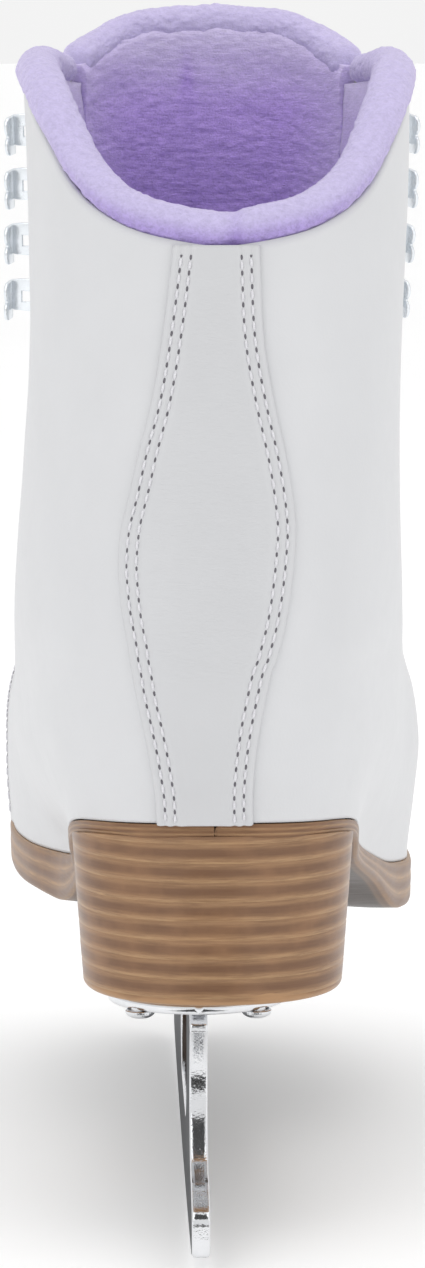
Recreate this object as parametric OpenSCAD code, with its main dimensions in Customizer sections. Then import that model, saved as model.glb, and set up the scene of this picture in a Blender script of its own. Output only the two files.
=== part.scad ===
/* [Blade] */
// Thickness of the runner and its stanchions
runner_t = 3.9; // [3.6:0.1:4.2]
// Height of the runner between the stanchions
runner_h = 13; // [11:0.5:14]
// Radius of the rocker curve along the edge
rocker_r = 2440; // [2000:20:2440]
// Thickness of the sole plate and the heel plate
plate_t = 3; // [2.4:0.1:3.2]
// Diameter of the screw heads
screw_head_d = 6.4; // [5.5:0.1:6.6]

/* [Heel and sole] */
// Height of the heel's underside above the ice
heel_base_z = 54; // [53:0.25:55]
// Width of the heel at its underside
heel_base_w = 56.8; // [52:0.2:58]
// Width of the heel under the sole
heel_top_w = 60.4; // [59:0.2:61]
// How far the sole stands out from the upper
welt = 0.8; // [0.5:0.1:1.2]
// Thickness of the insole board
board_t = 2; // [1.5:0.1:2.5]
// Thickness of the footbed
footbed_t = 3.4; // [2.5:0.1:4]

/* [Upper] */
// Thickness of the outer leather
leather_t = 1.8; // [1.4:0.1:1.8]
// Thickness of the fur lining
fur_t = 3.2; // [2.6:0.1:3.4]
// Thickness of the stiffeners and pads between leather and lining
middle_t = 1.2; // [0.9:0.1:1.2]
// Thickness of the backstay strip
backstay_t = 1.2; // [0.9:0.1:1.6]
// Width of the fur roll along the collar
collar_roll_w = 10; // [9:0.2:10.4]

/* [Tongue] */
// Thickness of the tongue's outer leather
tongue_leather_t = 1.4; // [1.2:0.1:1.6]
// Thickness of the tongue's foam
tongue_foam_t = 3.2; // [2.6:0.1:3.4]
// Angle between the tongue and the edge of each facing
tongue_gap_a = 1.1; // [1:0.1:1.6]

/* [Lacing] */
// Inside diameter of an eyelet
eyelet_d = 4.4; // [4:0.1:4.6]
// Outside diameter of an eyelet's flange
eyelet_flange_d = 8.6; // [8:0.2:9]
// How far a lace hook stands out from the leather
hook_reach = 8.75; // [7.5:0.25:9]
// Height of a lace hook's two-lobed head
hook_head_h = 9; // [8:0.25:9.5]

/* [Hidden] */
$fn = 48;

// Origin: where the blade touches the ice. +X is lateral, +Y points to the toe, +Z is up.

// Sole line of the upper: y, then its height at x = SOLE_LINE_X[0] and at SOLE_LINE_X[1]
SOLE_LINE_X = [-43, 53];
SOLE_LINE = [[-114, 93.9, 93.9], [-82, 89.8, 89.8], [-50, 80, 79.8], [-10, 71, 69.3], [15, 67, 63.8],
             [45, 64.8, 60.5], [85, 65.4, 62.5], [115, 68, 66.5], [146, 72.5, 72.5]];
// Underside of the sole: y, height
SOLE_UNDER = [[-114, 90.5], [-82, 86.4], [-50, 75.3], [-10, 63.5], [24, 52.2], [42, 51.2],
              [85, 53.8], [115, 58.3], [146, 66]];
// Front profile of the upper, from toe to tongue top: level, y, height
FRONT = [[0, 140, 60], [0.1, 144, 71], [0.2, 138, 88], [0.3, 118, 102.6], [0.4, 91, 112.5],
         [0.5, 65, 124.7], [0.6, 41, 142], [0.7, 23, 165], [0.8, 11, 192], [0.9, 3, 225],
         [1, -3, 262], [1.05, -5, 281]];
// Back profile of the upper: level, y
BACK = [[0, -110], [0.1, -113.5], [0.2, -115.5], [0.35, -116], [0.5, -115], [0.6, -112.5],
        [0.7, -108], [0.8, -103], [0.9, -101], [1, -103]];
// Plan of the foot at the sole line: y, centre x, medial and lateral half width
PLAN_LOW = [[-110, 3.4, 41, 41.5], [-82, 3.4, 39.9, 40.5], [-50, 3.8, 34, 36], [-10, 5, 31.7, 38.2],
            [17, 5.5, 35.5, 42.7], [42, 6, 44.5, 48.3], [80, 5.7, 53, 50], [115, 1, 50, 52],
            [140, -3, 44, 50]];
// Plan of the foot above the sole line, in the same form
PLAN_HIGH = [[-110, 3.4, 42, 42], [-80, 3.6, 44.5, 43], [-50, 4.2, 44.5, 43.5], [-10, 5, 45.5, 44.8],
             [40, 6, 49, 50.6], [70, 5.5, 52.8, 51.2], [85, 4.5, 53.2, 50.5], [115, 2, 48, 49],
             [140, -1, 42, 46]];
// Shaft: level, medial and lateral half width
SHAFT = [[0, 44, 42], [0.4, 45.5, 42], [0.5, 45.4, 42], [0.6, 44.3, 41.5], [0.7, 42.5, 41],
         [0.8, 41, 41.2], [0.9, 41.3, 42.3], [1, 42.8, 42.4]];
SHAFT_X = 4.8;
// Seam between vamp and quarters, below the throat: level, angle from the back
VAMP_SEAM = [[0, 121], [0.15, 121.5], [0.3, 127], [0.4, 142], [0.45, 155], [0.5, 172.5]];
// Edge of the facings, above the throat: level, angle from the back
FACING = [[0.5, 172.5], [0.6, 162], [0.7, 150.5], [0.8, 140], [0.9, 132], [1, 127]];
// Top edge of the quarters: angle from the back, level
COLLAR = [[0, 0.869], [23, 0.883], [42, 0.905], [56, 0.93], [73, 0.953], [95, 0.9635], [127, 0.9635]];
// Top edge of the tongue: angle from the front, level
TONGUE_TOP = [[0, 0.9935], [20, 0.989], [35, 0.9785], [53, 0.9655]];
// Width of the backstay: level, medial and lateral width from backstay_x
BACKSTAY = [[0, 10.5, 9.7], [0.08, 11, 9.6], [0.13, 11.9, 10], [0.18, 13.2, 10.9], [0.24, 14.6, 12.1],
            [0.31, 15.6, 13.2], [0.46, 17.1, 14.7], [0.56, 18.9, 16.2], [0.61, 19.4, 16.9], [0.65, 18.8, 17.2],
            [0.68, 17.4, 16.6], [0.72, 15.5, 15.1], [0.76, 13, 13], [0.81, 10.6, 10.7], [0.865, 8.4, 9.9]];
backstay_x = -1.8;
backstay_top = 0.8675;
throat_h = 0.5;
collar_a = 127;

gap = 0.4;
middle_out = -leather_t - gap;
middle_in = middle_out - middle_t;
fur_out = middle_in - gap;
fur_in = fur_out - fur_t;

HOOK_H = [0.931, 0.897, 0.861, 0.822];
EYELET_H = [0.775, 0.73, 0.685, 0.64, 0.595, 0.55];
// Angle from the facing's edge to the hooks: at the top hook, and its gain for each level below it
HOOK_INSET_MEDIAL = [11.5, 111];
HOOK_INSET_LATERAL = [9, 50];
function hook_inset(side, h) = let (k = side < 0 ? HOOK_INSET_MEDIAL : HOOK_INSET_LATERAL)
    k[0] + k[1] * (HOOK_H[0] - h);
eyelet_inset_a = 9;
hook_t = 0.9;
hook_lift = 0.25;

tail_y = -125;
pick_y = 116;
heel_back_y = -110;
heel_plate_y = [-104, -54];
sole_plate_y = [26, 118];
SOLE_PLATE_ROWS = [for (i = [0:18]) sole_plate_y[0] + (sole_plate_y[1] - sole_plate_y[0]) * i / 18];
heel_plate_w = 39;
sole_plate_w = [38, 42];
HEEL_SCREWS = [[-12.5, -97], [12.5, -97], [-12.5, -61], [12.5, -61]];
SOLE_SCREWS = [[-13, 34], [13, 34], [-16, 62], [16, 62], [-14, 106], [14, 106]];
screw_shank_d = 4;
screw_hole_d = screw_shank_d + 0.4;
heel_screw_l = 15;
sole_screw_l = 10;

// ---- Curves ----
function ease(a, b, x) = let (t = min(1, max(0, (x - a) / (b - a)))) t * t * (3 - 2 * t);
function mix(a, b, t) = a * (1 - t) + b * t;
function span(k, s, i = 0) = i >= len(k) - 2 || s < k[i + 1][0] ? i : span(k, s, i + 1);
function rise(k, i, c) = (k[i + 1][c] - k[i][c]) / (k[i + 1][0] - k[i][0]);
function slope(k, i, c) = i == 0 ? rise(k, 0, c) : i == len(k) - 1 ? rise(k, i - 1, c)
    : let (back = k[i][0] - k[i - 1][0], on = k[i + 1][0] - k[i][0])
      (rise(k, i - 1, c) * on + rise(k, i, c) * back) / (back + on);
// Smooth value through the keys k of column c, at s
function curve(k, s, c = 1) = let (i = span(k, s), d = k[i + 1][0] - k[i][0],
    t = min(1, max(0, (s - k[i][0]) / d)), t2 = t * t, t3 = t2 * t)
    (2 * t3 - 3 * t2 + 1) * k[i][c] + (t3 - 2 * t2 + t) * d * slope(k, i, c)
    + (3 * t2 - 2 * t3) * k[i + 1][c] + (t3 - t2) * d * slope(k, i + 1, c);

// ---- Surface of the upper ----
function sole_line(x, y) = mix(curve(SOLE_LINE, y, 1), curve(SOLE_LINE, y, 2),
    (x - SOLE_LINE_X[0]) / (SOLE_LINE_X[1] - SOLE_LINE_X[0]));
function shaft_share(h) = ease(0.2, 0.75, h);
function corner(h) = mix(0.6, 0.72, shaft_share(h));
function plan(y, h, c) = mix(curve(PLAN_LOW, y, c), curve(PLAN_HIGH, y, c), ease(0, 0.22, h));
function half_width(y, h, c) = mix(plan(y, h, c + 1), curve(SHAFT, h, c), shaft_share(h));
// Point at angle a from the back, lateral side positive, and level h from sole line to top
function skin(a, h) = let (
    y = mix(curve(BACK, h), curve(FRONT, h, 1), (1 - cos(a)) / 2),
    side = sin(a) < 0 ? -1 : 1,
    xc = mix(plan(y, h, 1), SHAFT_X, shaft_share(h)),
    x = xc + side * half_width(y, h, side < 0 ? 1 : 2) * pow(abs(sin(a)), corner(h)))
    [x, y, curve(FRONT, h, 2) + (sole_line(x, y) - 60) * (1 - ease(0, 0.8, h))];
function unit(v) = v / norm(v);
function skin_normal(a, h) = let (h0 = max(0, h - 0.004), h1 = h + 0.004)
    unit(cross(skin(a + 1, h) - skin(a - 1, h), skin(a, h1) - skin(a, h0)));
function on_skin(a, h, off) = skin(a, h) + off * skin_normal(a, h);
function front_edge(h) = h < throat_h ? curve(VAMP_SEAM, h) : curve(FACING, h);
function back_angle(x, h) = sign(x) * asin(pow(min(1, abs(x) / half_width(curve(BACK, h), h, x < 0 ? 1 : 2)),
    1 / corner(h)));

// ---- Solids from grids ----
function steps(n) = [for (i = [0:n]) i / n];
function reversed(v) = [for (i = [len(v) - 1:-1:0]) v[i]];
function flat(g) = [for (row = g) each row];
function quad(a, b, c, d) = [[a, b, c], [a, c, d]];
// Solid between two grids of points that have the same rows and columns
module between(top, bottom) {
    nj = len(top) - 1;
    ni = len(top[0]) - 1;
    under = (nj + 1) * (ni + 1);
    function at(j, i) = j * (ni + 1) + i;
    polyhedron(concat(flat(top), flat(bottom)), [
        for (j = [0:nj - 1], i = [0:ni - 1]) each concat(
            quad(at(j, i), at(j + 1, i), at(j + 1, i + 1), at(j, i + 1)),
            quad(under + at(j, i), under + at(j, i + 1), under + at(j + 1, i + 1), under + at(j + 1, i))),
        for (i = [0:ni - 1]) each concat(
            quad(at(0, i), at(0, i + 1), under + at(0, i + 1), under + at(0, i)),
            quad(at(nj, i + 1), at(nj, i), under + at(nj, i), under + at(nj, i + 1))),
        for (j = [0:nj - 1]) each concat(
            quad(at(j + 1, 0), at(j, 0), under + at(j, 0), under + at(j + 1, 0)),
            quad(at(j, ni), at(j + 1, ni), under + at(j + 1, ni), under + at(j, ni)))]);
}
// Panel of the upper between two distances from the skin, over a grid of [angle, level] places
module panel(grid, outer, inner) {
    points = [for (row = grid) [for (q = row) skin(q[0], q[1])]];
    normals = [for (row = grid) [for (q = row) skin_normal(q[0], q[1])]];
    between(points + outer * normals, points + inner * normals);
}
// Tube with flat ends along rings of points
module tube(rings) {
    n = len(rings[0]);
    last = (len(rings) - 1) * n;
    polyhedron(flat(rings), [
        for (k = [0:len(rings) - 2], m = [0:n - 1]) each quad(k * n + m, k * n + (m + 1) % n,
            (k + 1) * n + (m + 1) % n, (k + 1) * n + m),
        for (m = [1:n - 2]) [0, m + 1, m],
        for (m = [1:n - 2]) [last, last + m, last + m + 1]]);
}
// Roll of fur that sits over the top edge of a wall, at [angle, level] places
module edge_roll(places, wall_in, width, height, lift, sides = 10) {
    tube([for (q = places) let (n = skin_normal(q[0], q[1]),
        up = unit(skin(q[0], q[1] + 0.01) - skin(q[0], q[1] - 0.01)),
        c = on_skin(q[0], q[1], wall_in / 2) + lift * up)
        [for (m = [0:sides - 1]) let (t = 360 * m / sides)
            c + width / 2 * cos(t) * n + height / 2 * sin(t) * up]]);
}

// ---- Plates under the foot ----
PLATE_ROWS = [for (k = [0:36]) 3 + 174 * k / 36];
function rim(a, off) = let (p = on_skin(a, 0, 0), n = skin_normal(a, 0)) p + off * unit([n[0], n[1], 0]);
// Plate that follows the sole line, between two heights above it
module foot_plate(off, low, high, rows = PLATE_ROWS) {
    grid = [for (a = rows) let (m = rim(-a, off), l = rim(a, off), y = (m[1] + l[1]) / 2)
        [for (t = [0:0.25:1]) let (x = mix(m[0], l[0], t)) [x, y, sole_line(x, y)]]];
    between([for (r = grid) [for (p = r) p + [0, 0, high]]], [for (r = grid) [for (p = r) p + [0, 0, low]]]);
}

// ---- Blade ----
function rocker(y) = y * y / (2 * rocker_r);
function bend(c, r, a0, a1, n = 8) = [for (i = [0:n]) let (a = mix(a0, a1, i / n)) c + r * [cos(a), sin(a)]];
function sole_under(y) = curve(SOLE_UNDER, y);
pick_teeth = 5;
pick_r = 16;
PICK_C = [117, 18.5];
function on_pick(a, r) = PICK_C + r * [cos(a), sin(a)];
// Points of the toe pick, from the edge upwards: each tip and the root above it
function toe_pick() = [for (i = [0:pick_teeth - 1]) let (a = mix(-66, 6, i / (pick_teeth - 1)))
    each [on_pick(a, pick_r), on_pick(a + 5, pick_r - 3)]];
function blade_outline() = concat(
    [for (i = [0:24]) let (y = mix(tail_y + 1.2, pick_y, i / 24)) [y, rocker(y)]],
    toe_pick(),
    [[129.5, 26], [122, 32], [114, 38], [110, 46]],
    [for (y = reversed(SOLE_PLATE_ROWS)) if (y > 30 && y < 108) [y, sole_under(y) - plate_t]],
    bend([-2, 32 + runner_h / 4], 22 - runner_h / 4, 18, -90, 10),
    bend([-44, 32 + runner_h / 4], 22 - runner_h / 4, -90, -188, 10),
    [[-62, heel_base_z - plate_t], [-97, heel_base_z - plate_t]],
    bend([-117.5, 34.5], 20, 40, -50, 10),
    [[-108, runner_h + 4.4], [tail_y + 1.5, runner_h + 1.2], [tail_y, runner_h - 0.6], [tail_y, 5]]);
module blade() {
    color([0.78, 0.79, 0.81])
    rotate([90, 0, 90]) linear_extrude(runner_t, center = true) polygon(blade_outline());
}
// Rounded plate outline, wide_a at the first end and wide_b at the other
module plate_outline(ends, wide_a, wide_b) {
    translate([0, ends[0] + wide_a / 2]) circle(d = wide_a);
    translate([0, ends[1] - wide_b / 2]) circle(d = wide_b);
    polygon([[-wide_a / 2, ends[0] + wide_a / 2], [wide_a / 2, ends[0] + wide_a / 2],
             [wide_b / 2, ends[1] - wide_b / 2], [-wide_b / 2, ends[1] - wide_b / 2]]);
}
module heel_plate() {
    color([0.8, 0.81, 0.83])
    difference() {
        translate([0, 0, heel_base_z - plate_t]) linear_extrude(plate_t)
            plate_outline(heel_plate_y, heel_plate_w, heel_plate_w);
        for (p = HEEL_SCREWS) translate([p[0], p[1], heel_base_z - plate_t - 1])
            cylinder(d = screw_hole_d, h = plate_t + 2);
    }
}
module sole_plate() {
    color([0.8, 0.81, 0.83])
    difference() {
        intersection() {
            rotate([90, 0, 90]) linear_extrude(60, center = true)
                polygon(concat([for (y = SOLE_PLATE_ROWS) [y, sole_under(y) - 0.15]],
                               [for (y = reversed(SOLE_PLATE_ROWS)) [y, sole_under(y) - plate_t]]));
            translate([0, 0, 40]) linear_extrude(30)
                plate_outline(sole_plate_y, sole_plate_w[0], sole_plate_w[1]);
        }
        for (p = SOLE_SCREWS) translate([p[0], p[1], 40]) cylinder(d = screw_hole_d, h = 30);
    }
}
// Screw with a domed head, head down, its head's flat at z = 0
module screw(l) {
    r = screw_head_d / 2;
    rotate_extrude() polygon(concat([[0, l], [0, -r * 0.62]],
        [for (i = [1:6]) let (a = 15 * i) [r * sin(a), -r * 0.62 * cos(a)]],
        [[screw_shank_d / 2, 0], [screw_shank_d / 2, l - 3]]));
}
module heel_plate_screws() {
    color([0.72, 0.73, 0.75])
    for (p = HEEL_SCREWS) translate([p[0], p[1], heel_base_z - plate_t]) screw(heel_screw_l);
}
module sole_plate_screws() {
    color([0.72, 0.73, 0.75])
    for (p = SOLE_SCREWS) translate([p[0], p[1], sole_under(p[1]) - plate_t - 0.5]) screw(sole_screw_l);
}

// ---- Heel and sole ----
HEEL_ROUND = 28;
HEEL_X = 3.4;
// Row of the heel's plan: t from 0 underneath to 1 on top, s from 0 at the back to 1 at the breast
function heel_row(t, s) = let (w = mix(heel_base_w, heel_top_w, t) / 2, front = mix(-52, -47, t),
    turn = min(1, s / 0.65) * 90, on = max(0, (s - 0.65) / 0.35),
    y = heel_back_y + HEEL_ROUND * (1 - cos(turn)) + on * (front - heel_back_y - HEEL_ROUND))
    [for (u = [-1:0.5:1]) [HEEL_X + u * w * pow(sin(max(6, turn)), 0.85), y - 3 * on * on * (1 - u * u)]];
module heel_block() {
    rows = steps(14);
    color([0.5, 0.33, 0.2])
    between([for (s = rows) [for (p = heel_row(1, s)) [p[0], p[1], sole_under(p[1]) - 0.2]]],
            [for (s = rows) [for (p = heel_row(0, s)) [p[0], p[1], heel_base_z]]]);
}
// How much the sole's underside rises at its medial side and drops at its lateral side, under the ball
function ball_lift(x, y) = ease(0, 40, y) * (3 * ease(18, 34, -x) - 1.4 * ease(27, 46, x));
module outsole() {
    outline = [for (a = PLATE_ROWS) [rim(-a, welt), rim(a, welt)]];
    grid = [for (r = outline) let (y = (r[0][1] + r[1][1]) / 2)
        [for (t = steps(8)) [mix(r[0][0], r[1][0], t), y]]];
    color([0.55, 0.36, 0.2])
    between([for (r = grid) [for (p = r) [p[0], p[1], sole_line(p[0], p[1]) - 0.2]]],
            [for (r = grid) [for (p = r) [p[0], p[1], sole_under(p[1]) + ball_lift(p[0], p[1])]]]);
}
module shank() {
    ys = [-84, -70, -56, -42, -28, -14, 0, 12];
    color([0.6, 0.62, 0.65])
    between([for (y = ys) [for (x = [-3, 11]) [x, y, sole_line(x, y) + 1.5]]],
            [for (y = ys) [for (x = [-3, 11]) [x, y, sole_line(x, y) + 0.3]]]);
}
module bottom_filler() {
    color([0.62, 0.47, 0.32]) foot_plate(-11, 0.1, 1.5, [for (a = PLATE_ROWS) if (a > 93) a]);
}
module insole_board() { color([0.7, 0.6, 0.45]) foot_plate(fur_in - 2 * gap, 1.7, 1.7 + board_t); }
module footbed() {
    color([0.66, 0.6, 0.78]) foot_plate(fur_in - 2.5 * gap, 1.8 + board_t, 1.8 + board_t + footbed_t);
}

// ---- Upper ----
QUARTER_ROWS = [0, 0.04, 0.1, 0.17, 0.25, 0.32, 0.38, 0.42, 0.455, 0.485, throat_h / 0.972, 0.545, 0.59,
                0.65, 0.72, 0.8, 0.87, 0.94, 1];
VAMP_ROWS = [0, 0.05, 0.1, 0.15, 0.2, 0.25, 0.3, 0.35, 0.4, 0.44, 0.47, 0.496];
quarter_cols = 22;
// Places of one quarter, from the back seam to its front edge; side is -1 medial or 1 lateral
function quarter_grid(side) = [for (v = QUARTER_ROWS) [for (k = [0:quarter_cols])
    let (u = pow((side > 0 ? k : quarter_cols - k) / quarter_cols, 1.5), h = v * curve(COLLAR, u * collar_a))
    [side * u * front_edge(h), h]]];
function vamp_grid() = [for (h = VAMP_ROWS) [for (k = [-10:10])
    let (u = k / 10) [180 + sign(u) * pow(abs(u), 1.5) * (180 - front_edge(h) - 0.4), h]]];
// Places between two angles and two levels, the angles given as functions of the level
function patch(from, to, low, high, cols, rows) = [for (v = steps(rows)) let (h = mix(low, high, v))
    [for (u = steps(cols)) [mix(from(h), to(h), u), h]]];
function sided(grid, side) = side > 0 ? grid : [for (row = grid) reversed([for (q = row) [-q[0], q[1]]])];

// Holes for the eyelets of one side, as wide as their barrels
module eyelet_holes(side) {
    for (h = EYELET_H) at_facing(side, h, eyelet_inset_a) cylinder(d = eyelet_d + 1.2, h = 24, center = true);
}
module quarter(side) {
    color([0.93, 0.93, 0.94]) difference() {
        panel(quarter_grid(side), 0, -leather_t);
        eyelet_holes(side);
    }
}
module quarter_medial() { quarter(-1); }
module quarter_lateral() { quarter(1); }
module vamp() { color([0.93, 0.93, 0.94]) panel(vamp_grid(), 0, -leather_t); }
module backstay() {
    color([0.9, 0.9, 0.92])
    panel([for (v = steps(18)) let (h = v * backstay_top) [for (u = steps(8))
        let (w = mix(-1, 1, u), x = backstay_x + w * curve(BACKSTAY, h, w < 0 ? 1 : 2))
        [back_angle(x, h), h]]], gap / 2 + backstay_t, gap / 2);
}
module heel_counter() {
    color([0.75, 0.65, 0.5]) panel([for (v = steps(9)) let (h = mix(0.03, 0.33, v)) [for (k = [-11:11])
        let (u = k / 11) [sign(u) * pow(abs(u), 1.5) * mix(62, 46, v), h]]], middle_out, middle_in);
}
module toe_puff() {
    color([0.75, 0.65, 0.5]) panel([for (v = steps(8)) let (h = mix(0.02, 0.28, v)) [for (k = [-10:10])
        let (u = k / 10) [180 + sign(u) * pow(abs(u), 1.5) * mix(52, 34, v), h]]], middle_out, middle_in);
}
function pad_grid(side) = sided([for (v = steps(11)) [for (u = steps(12))
    let (h = mix(0.38, curve(COLLAR, 14 + 80 * u) - 0.02, v)) [mix(14, front_edge(h) - 29.5, u), h]]], side);
module ankle_pad_medial() { color([0.95, 0.9, 0.75]) panel(pad_grid(-1), middle_out, middle_in); }
module ankle_pad_lateral() { color([0.95, 0.9, 0.75]) panel(pad_grid(1), middle_out, middle_in); }
module facing_stay(side) {
    color([0.85, 0.85, 0.86]) difference() {
        panel(sided(patch(function (h) front_edge(h) - 27, function (h) front_edge(h) - 0.5,
                          0.52, 0.955, 4, 20), side), middle_out, middle_in);
        eyelet_holes(side);
    }
}
module facing_stay_medial() { facing_stay(-1); }
module facing_stay_lateral() { facing_stay(1); }
module vamp_lining() { color([0.8, 0.76, 0.9]) panel(vamp_grid(), fur_out, fur_in); }
module quarter_lining(side) {
    color([0.78, 0.73, 0.9]) difference() {
        panel(quarter_grid(side), fur_out, fur_in);
        eyelet_holes(side);
    }
}
module quarter_lining_medial() { quarter_lining(-1); }
module quarter_lining_lateral() { quarter_lining(1); }
module collar_roll() {
    color([0.82, 0.78, 0.92])
    edge_roll([for (k = [-22:22]) let (u = k / 22, a = sign(u) * pow(abs(u), 1.3) * collar_a)
        [a, curve(COLLAR, abs(a))]], fur_in, collar_roll_w, 9.2, 3.2);
}

// ---- Lacing ----
// Frame on one facing at level h: outward is +Z, up the facing is +Y
module at_facing(side, h, inset) {
    a = side * (front_edge(h) - inset);
    n = skin_normal(a, h);
    rise = unit(skin(a, h + 0.01) - skin(a, h - 0.01));
    across = unit(cross(rise, n));
    up = cross(n, across);
    p = skin(a, h);
    multmatrix([[across[0], up[0], n[0], p[0]], [across[1], up[1], n[1], p[1]],
                [across[2], up[2], n[2], p[2]], [0, 0, 0, 1]]) children();
}
// Flanged eyelet through leather, stay and lining
module eyelet() {
    r = eyelet_d / 2;
    f = eyelet_flange_d / 2;
    rotate_extrude() polygon([[r, 0.5], [r + 0.4, 0.9], [f - 0.4, 0.7], [f, 0.1], [r + 0.55, 0.1],
        [r + 0.55, fur_in - 0.1], [f - 1, fur_in - 0.1], [f - 1, fur_in - 0.6], [r, fur_in - 0.6]]);
}
module eyelets(side) {
    color([0.85, 0.87, 0.9]) for (h = EYELET_H) at_facing(side, h, eyelet_inset_a) eyelet();
}
module eyelets_medial() { eyelets(-1); }
module eyelets_lateral() { eyelets(1); }
// Bent-sheet lace hook: foot on the leather, windowed stem, and a two-lobed head open to the back
module hook() {
    lobe = hook_head_h / 4;
    translate([0, 0, hook_lift]) linear_extrude(hook_t)
        polygon([[-2.6, 4.2], [3, 4.2], [3, -1], [1, -7.5], [-1.8, -7.5], [-2.6, -3]]);
    translate([-2.6, 0, 0]) rotate([90, 0, 90]) linear_extrude(hook_t) difference() {
        polygon([[4.2, hook_lift + 0.1], [4.8, 2.5], [4.6, hook_reach], [-2.4, hook_reach], [-2.8, 3.4],
                 [-5, 1.4], [-7, hook_lift + 0.1]]);
        translate([0, hook_reach / 2 - 1.2]) square([2.2, 2.2]);
    }
    translate([0, 0, hook_reach - hook_t]) linear_extrude(hook_t) union() {
        for (k = [-1, 1]) translate([0.4, k * lobe - 0.1]) circle(r = lobe + 0.25);
        translate([-2.6, -hook_head_h / 2]) square([2.6, hook_head_h - 0.2]);
    }
}
module hooks(side) {
    color([0.85, 0.88, 0.93]) for (h = HOOK_H) at_facing(side, h, hook_inset(side, h)) {
        if (side > 0) mirror([1, 0, 0]) hook();
        else hook();
    }
}
module hooks_medial() { hooks(-1); }
module hooks_lateral() { hooks(1); }
// Rivet through a hook's foot and the layers under it
module hook_rivet() {
    top = hook_lift + hook_t;
    rotate_extrude() polygon([[0, top + 0.8], [1, top + 0.7], [1.7, top + 0.05], [1.2, top + 0.05],
        [1.2, middle_in - 0.15], [0, middle_in - 0.15]]);
}
module hook_rivets(side) {
    color([0.8, 0.82, 0.86]) for (h = HOOK_H) at_facing(side, h, hook_inset(side, h)) hook_rivet();
}
module hook_rivets_medial() { hook_rivets(-1); }
module hook_rivets_lateral() { hook_rivets(1); }

// ---- Tongue ----
tongue_base_h = throat_h + 0.006;
tongue_in = -tongue_leather_t - tongue_foam_t - fur_t;
function tongue_half_a(h) = 180 - front_edge(h) - tongue_gap_a;
function tongue_grid() = [for (v = steps(16)) [for (k = [-6:6]) let (u = k / 6,
    h = mix(tongue_base_h, curve(TONGUE_TOP, abs(u) * 52), v)) [180 + u * tongue_half_a(h), h]]];
module tongue_leather() { color([0.92, 0.92, 0.94]) panel(tongue_grid(), 0, -tongue_leather_t); }
module tongue_foam() {
    color([0.95, 0.9, 0.75]) panel(tongue_grid(), -tongue_leather_t, -tongue_leather_t - tongue_foam_t);
}
module tongue_lining() {
    color([0.78, 0.73, 0.9]) panel(tongue_grid(), -tongue_leather_t - tongue_foam_t, tongue_in);
}
module tongue_roll() {
    color([0.82, 0.78, 0.92])
    edge_roll([for (k = [-8:8]) let (u = k / 8, h = curve(TONGUE_TOP, abs(u) * 52))
        [180 + u * tongue_half_a(h), h]], tongue_in, 9, 8.4, 2.8);
}

blade();
heel_plate();
sole_plate();
heel_plate_screws();
sole_plate_screws();
heel_block();
outsole();
shank();
bottom_filler();
insole_board();
footbed();
vamp();
quarter_medial();
quarter_lateral();
backstay();
heel_counter();
toe_puff();
ankle_pad_medial();
ankle_pad_lateral();
facing_stay_medial();
facing_stay_lateral();
vamp_lining();
quarter_lining_medial();
quarter_lining_lateral();
collar_roll();
eyelets_medial();
eyelets_lateral();
hooks_medial();
hooks_lateral();
hook_rivets_medial();
hook_rivets_lateral();
tongue_leather();
tongue_foam();
tongue_lining();
tongue_roll();
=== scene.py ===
import math

import bmesh
import bpy
import numpy as np
from mathutils import Matrix, Vector


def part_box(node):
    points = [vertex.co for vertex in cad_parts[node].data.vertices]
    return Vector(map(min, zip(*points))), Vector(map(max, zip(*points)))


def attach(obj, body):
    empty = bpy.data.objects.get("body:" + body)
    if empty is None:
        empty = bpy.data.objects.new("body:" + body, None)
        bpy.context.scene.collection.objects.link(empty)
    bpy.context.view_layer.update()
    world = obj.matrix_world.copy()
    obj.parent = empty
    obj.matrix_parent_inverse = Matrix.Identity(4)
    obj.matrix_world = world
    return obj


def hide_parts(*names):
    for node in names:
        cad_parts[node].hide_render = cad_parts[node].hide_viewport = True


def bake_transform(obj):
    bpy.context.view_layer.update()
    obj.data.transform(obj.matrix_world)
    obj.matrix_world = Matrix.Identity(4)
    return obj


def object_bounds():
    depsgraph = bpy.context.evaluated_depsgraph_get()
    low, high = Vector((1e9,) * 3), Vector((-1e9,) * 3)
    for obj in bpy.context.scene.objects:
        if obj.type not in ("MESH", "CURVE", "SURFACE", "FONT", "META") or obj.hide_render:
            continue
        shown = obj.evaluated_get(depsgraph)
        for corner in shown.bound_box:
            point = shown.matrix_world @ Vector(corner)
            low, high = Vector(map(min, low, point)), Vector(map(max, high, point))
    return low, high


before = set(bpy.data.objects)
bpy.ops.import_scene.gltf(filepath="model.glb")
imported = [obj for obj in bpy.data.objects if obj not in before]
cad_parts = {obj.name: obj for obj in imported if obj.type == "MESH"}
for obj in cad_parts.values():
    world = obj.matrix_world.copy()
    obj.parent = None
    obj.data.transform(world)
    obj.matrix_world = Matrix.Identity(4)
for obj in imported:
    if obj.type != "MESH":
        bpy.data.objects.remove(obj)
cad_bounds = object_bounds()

# ---------------------------------------------------------------- the part's own surface, in millimetres
# The same keys as the part's source, so that every panel lies where its CAD solid does.
MM = 0.001
SOLE_LINE_X = (-43, 53)
SOLE_LINE = [[-114, 93.9, 93.9], [-82, 89.8, 89.8], [-50, 80, 79.8], [-10, 71, 69.3], [15, 67, 63.8],
             [45, 64.8, 60.5], [85, 65.4, 62.5], [115, 68, 66.5], [146, 72.5, 72.5]]
SOLE_UNDER = [[-114, 90.5], [-82, 86.4], [-50, 75.3], [-10, 63.5], [24, 52.2], [42, 51.2], [85, 53.8],
              [115, 58.3], [146, 66]]
FRONT = [[0, 140, 60], [.1, 144, 71], [.2, 138, 88], [.3, 118, 102.6], [.4, 91, 112.5], [.5, 65, 124.7],
         [.6, 41, 142], [.7, 23, 165], [.8, 11, 192], [.9, 3, 225], [1, -3, 262], [1.05, -5, 281]]
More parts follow.
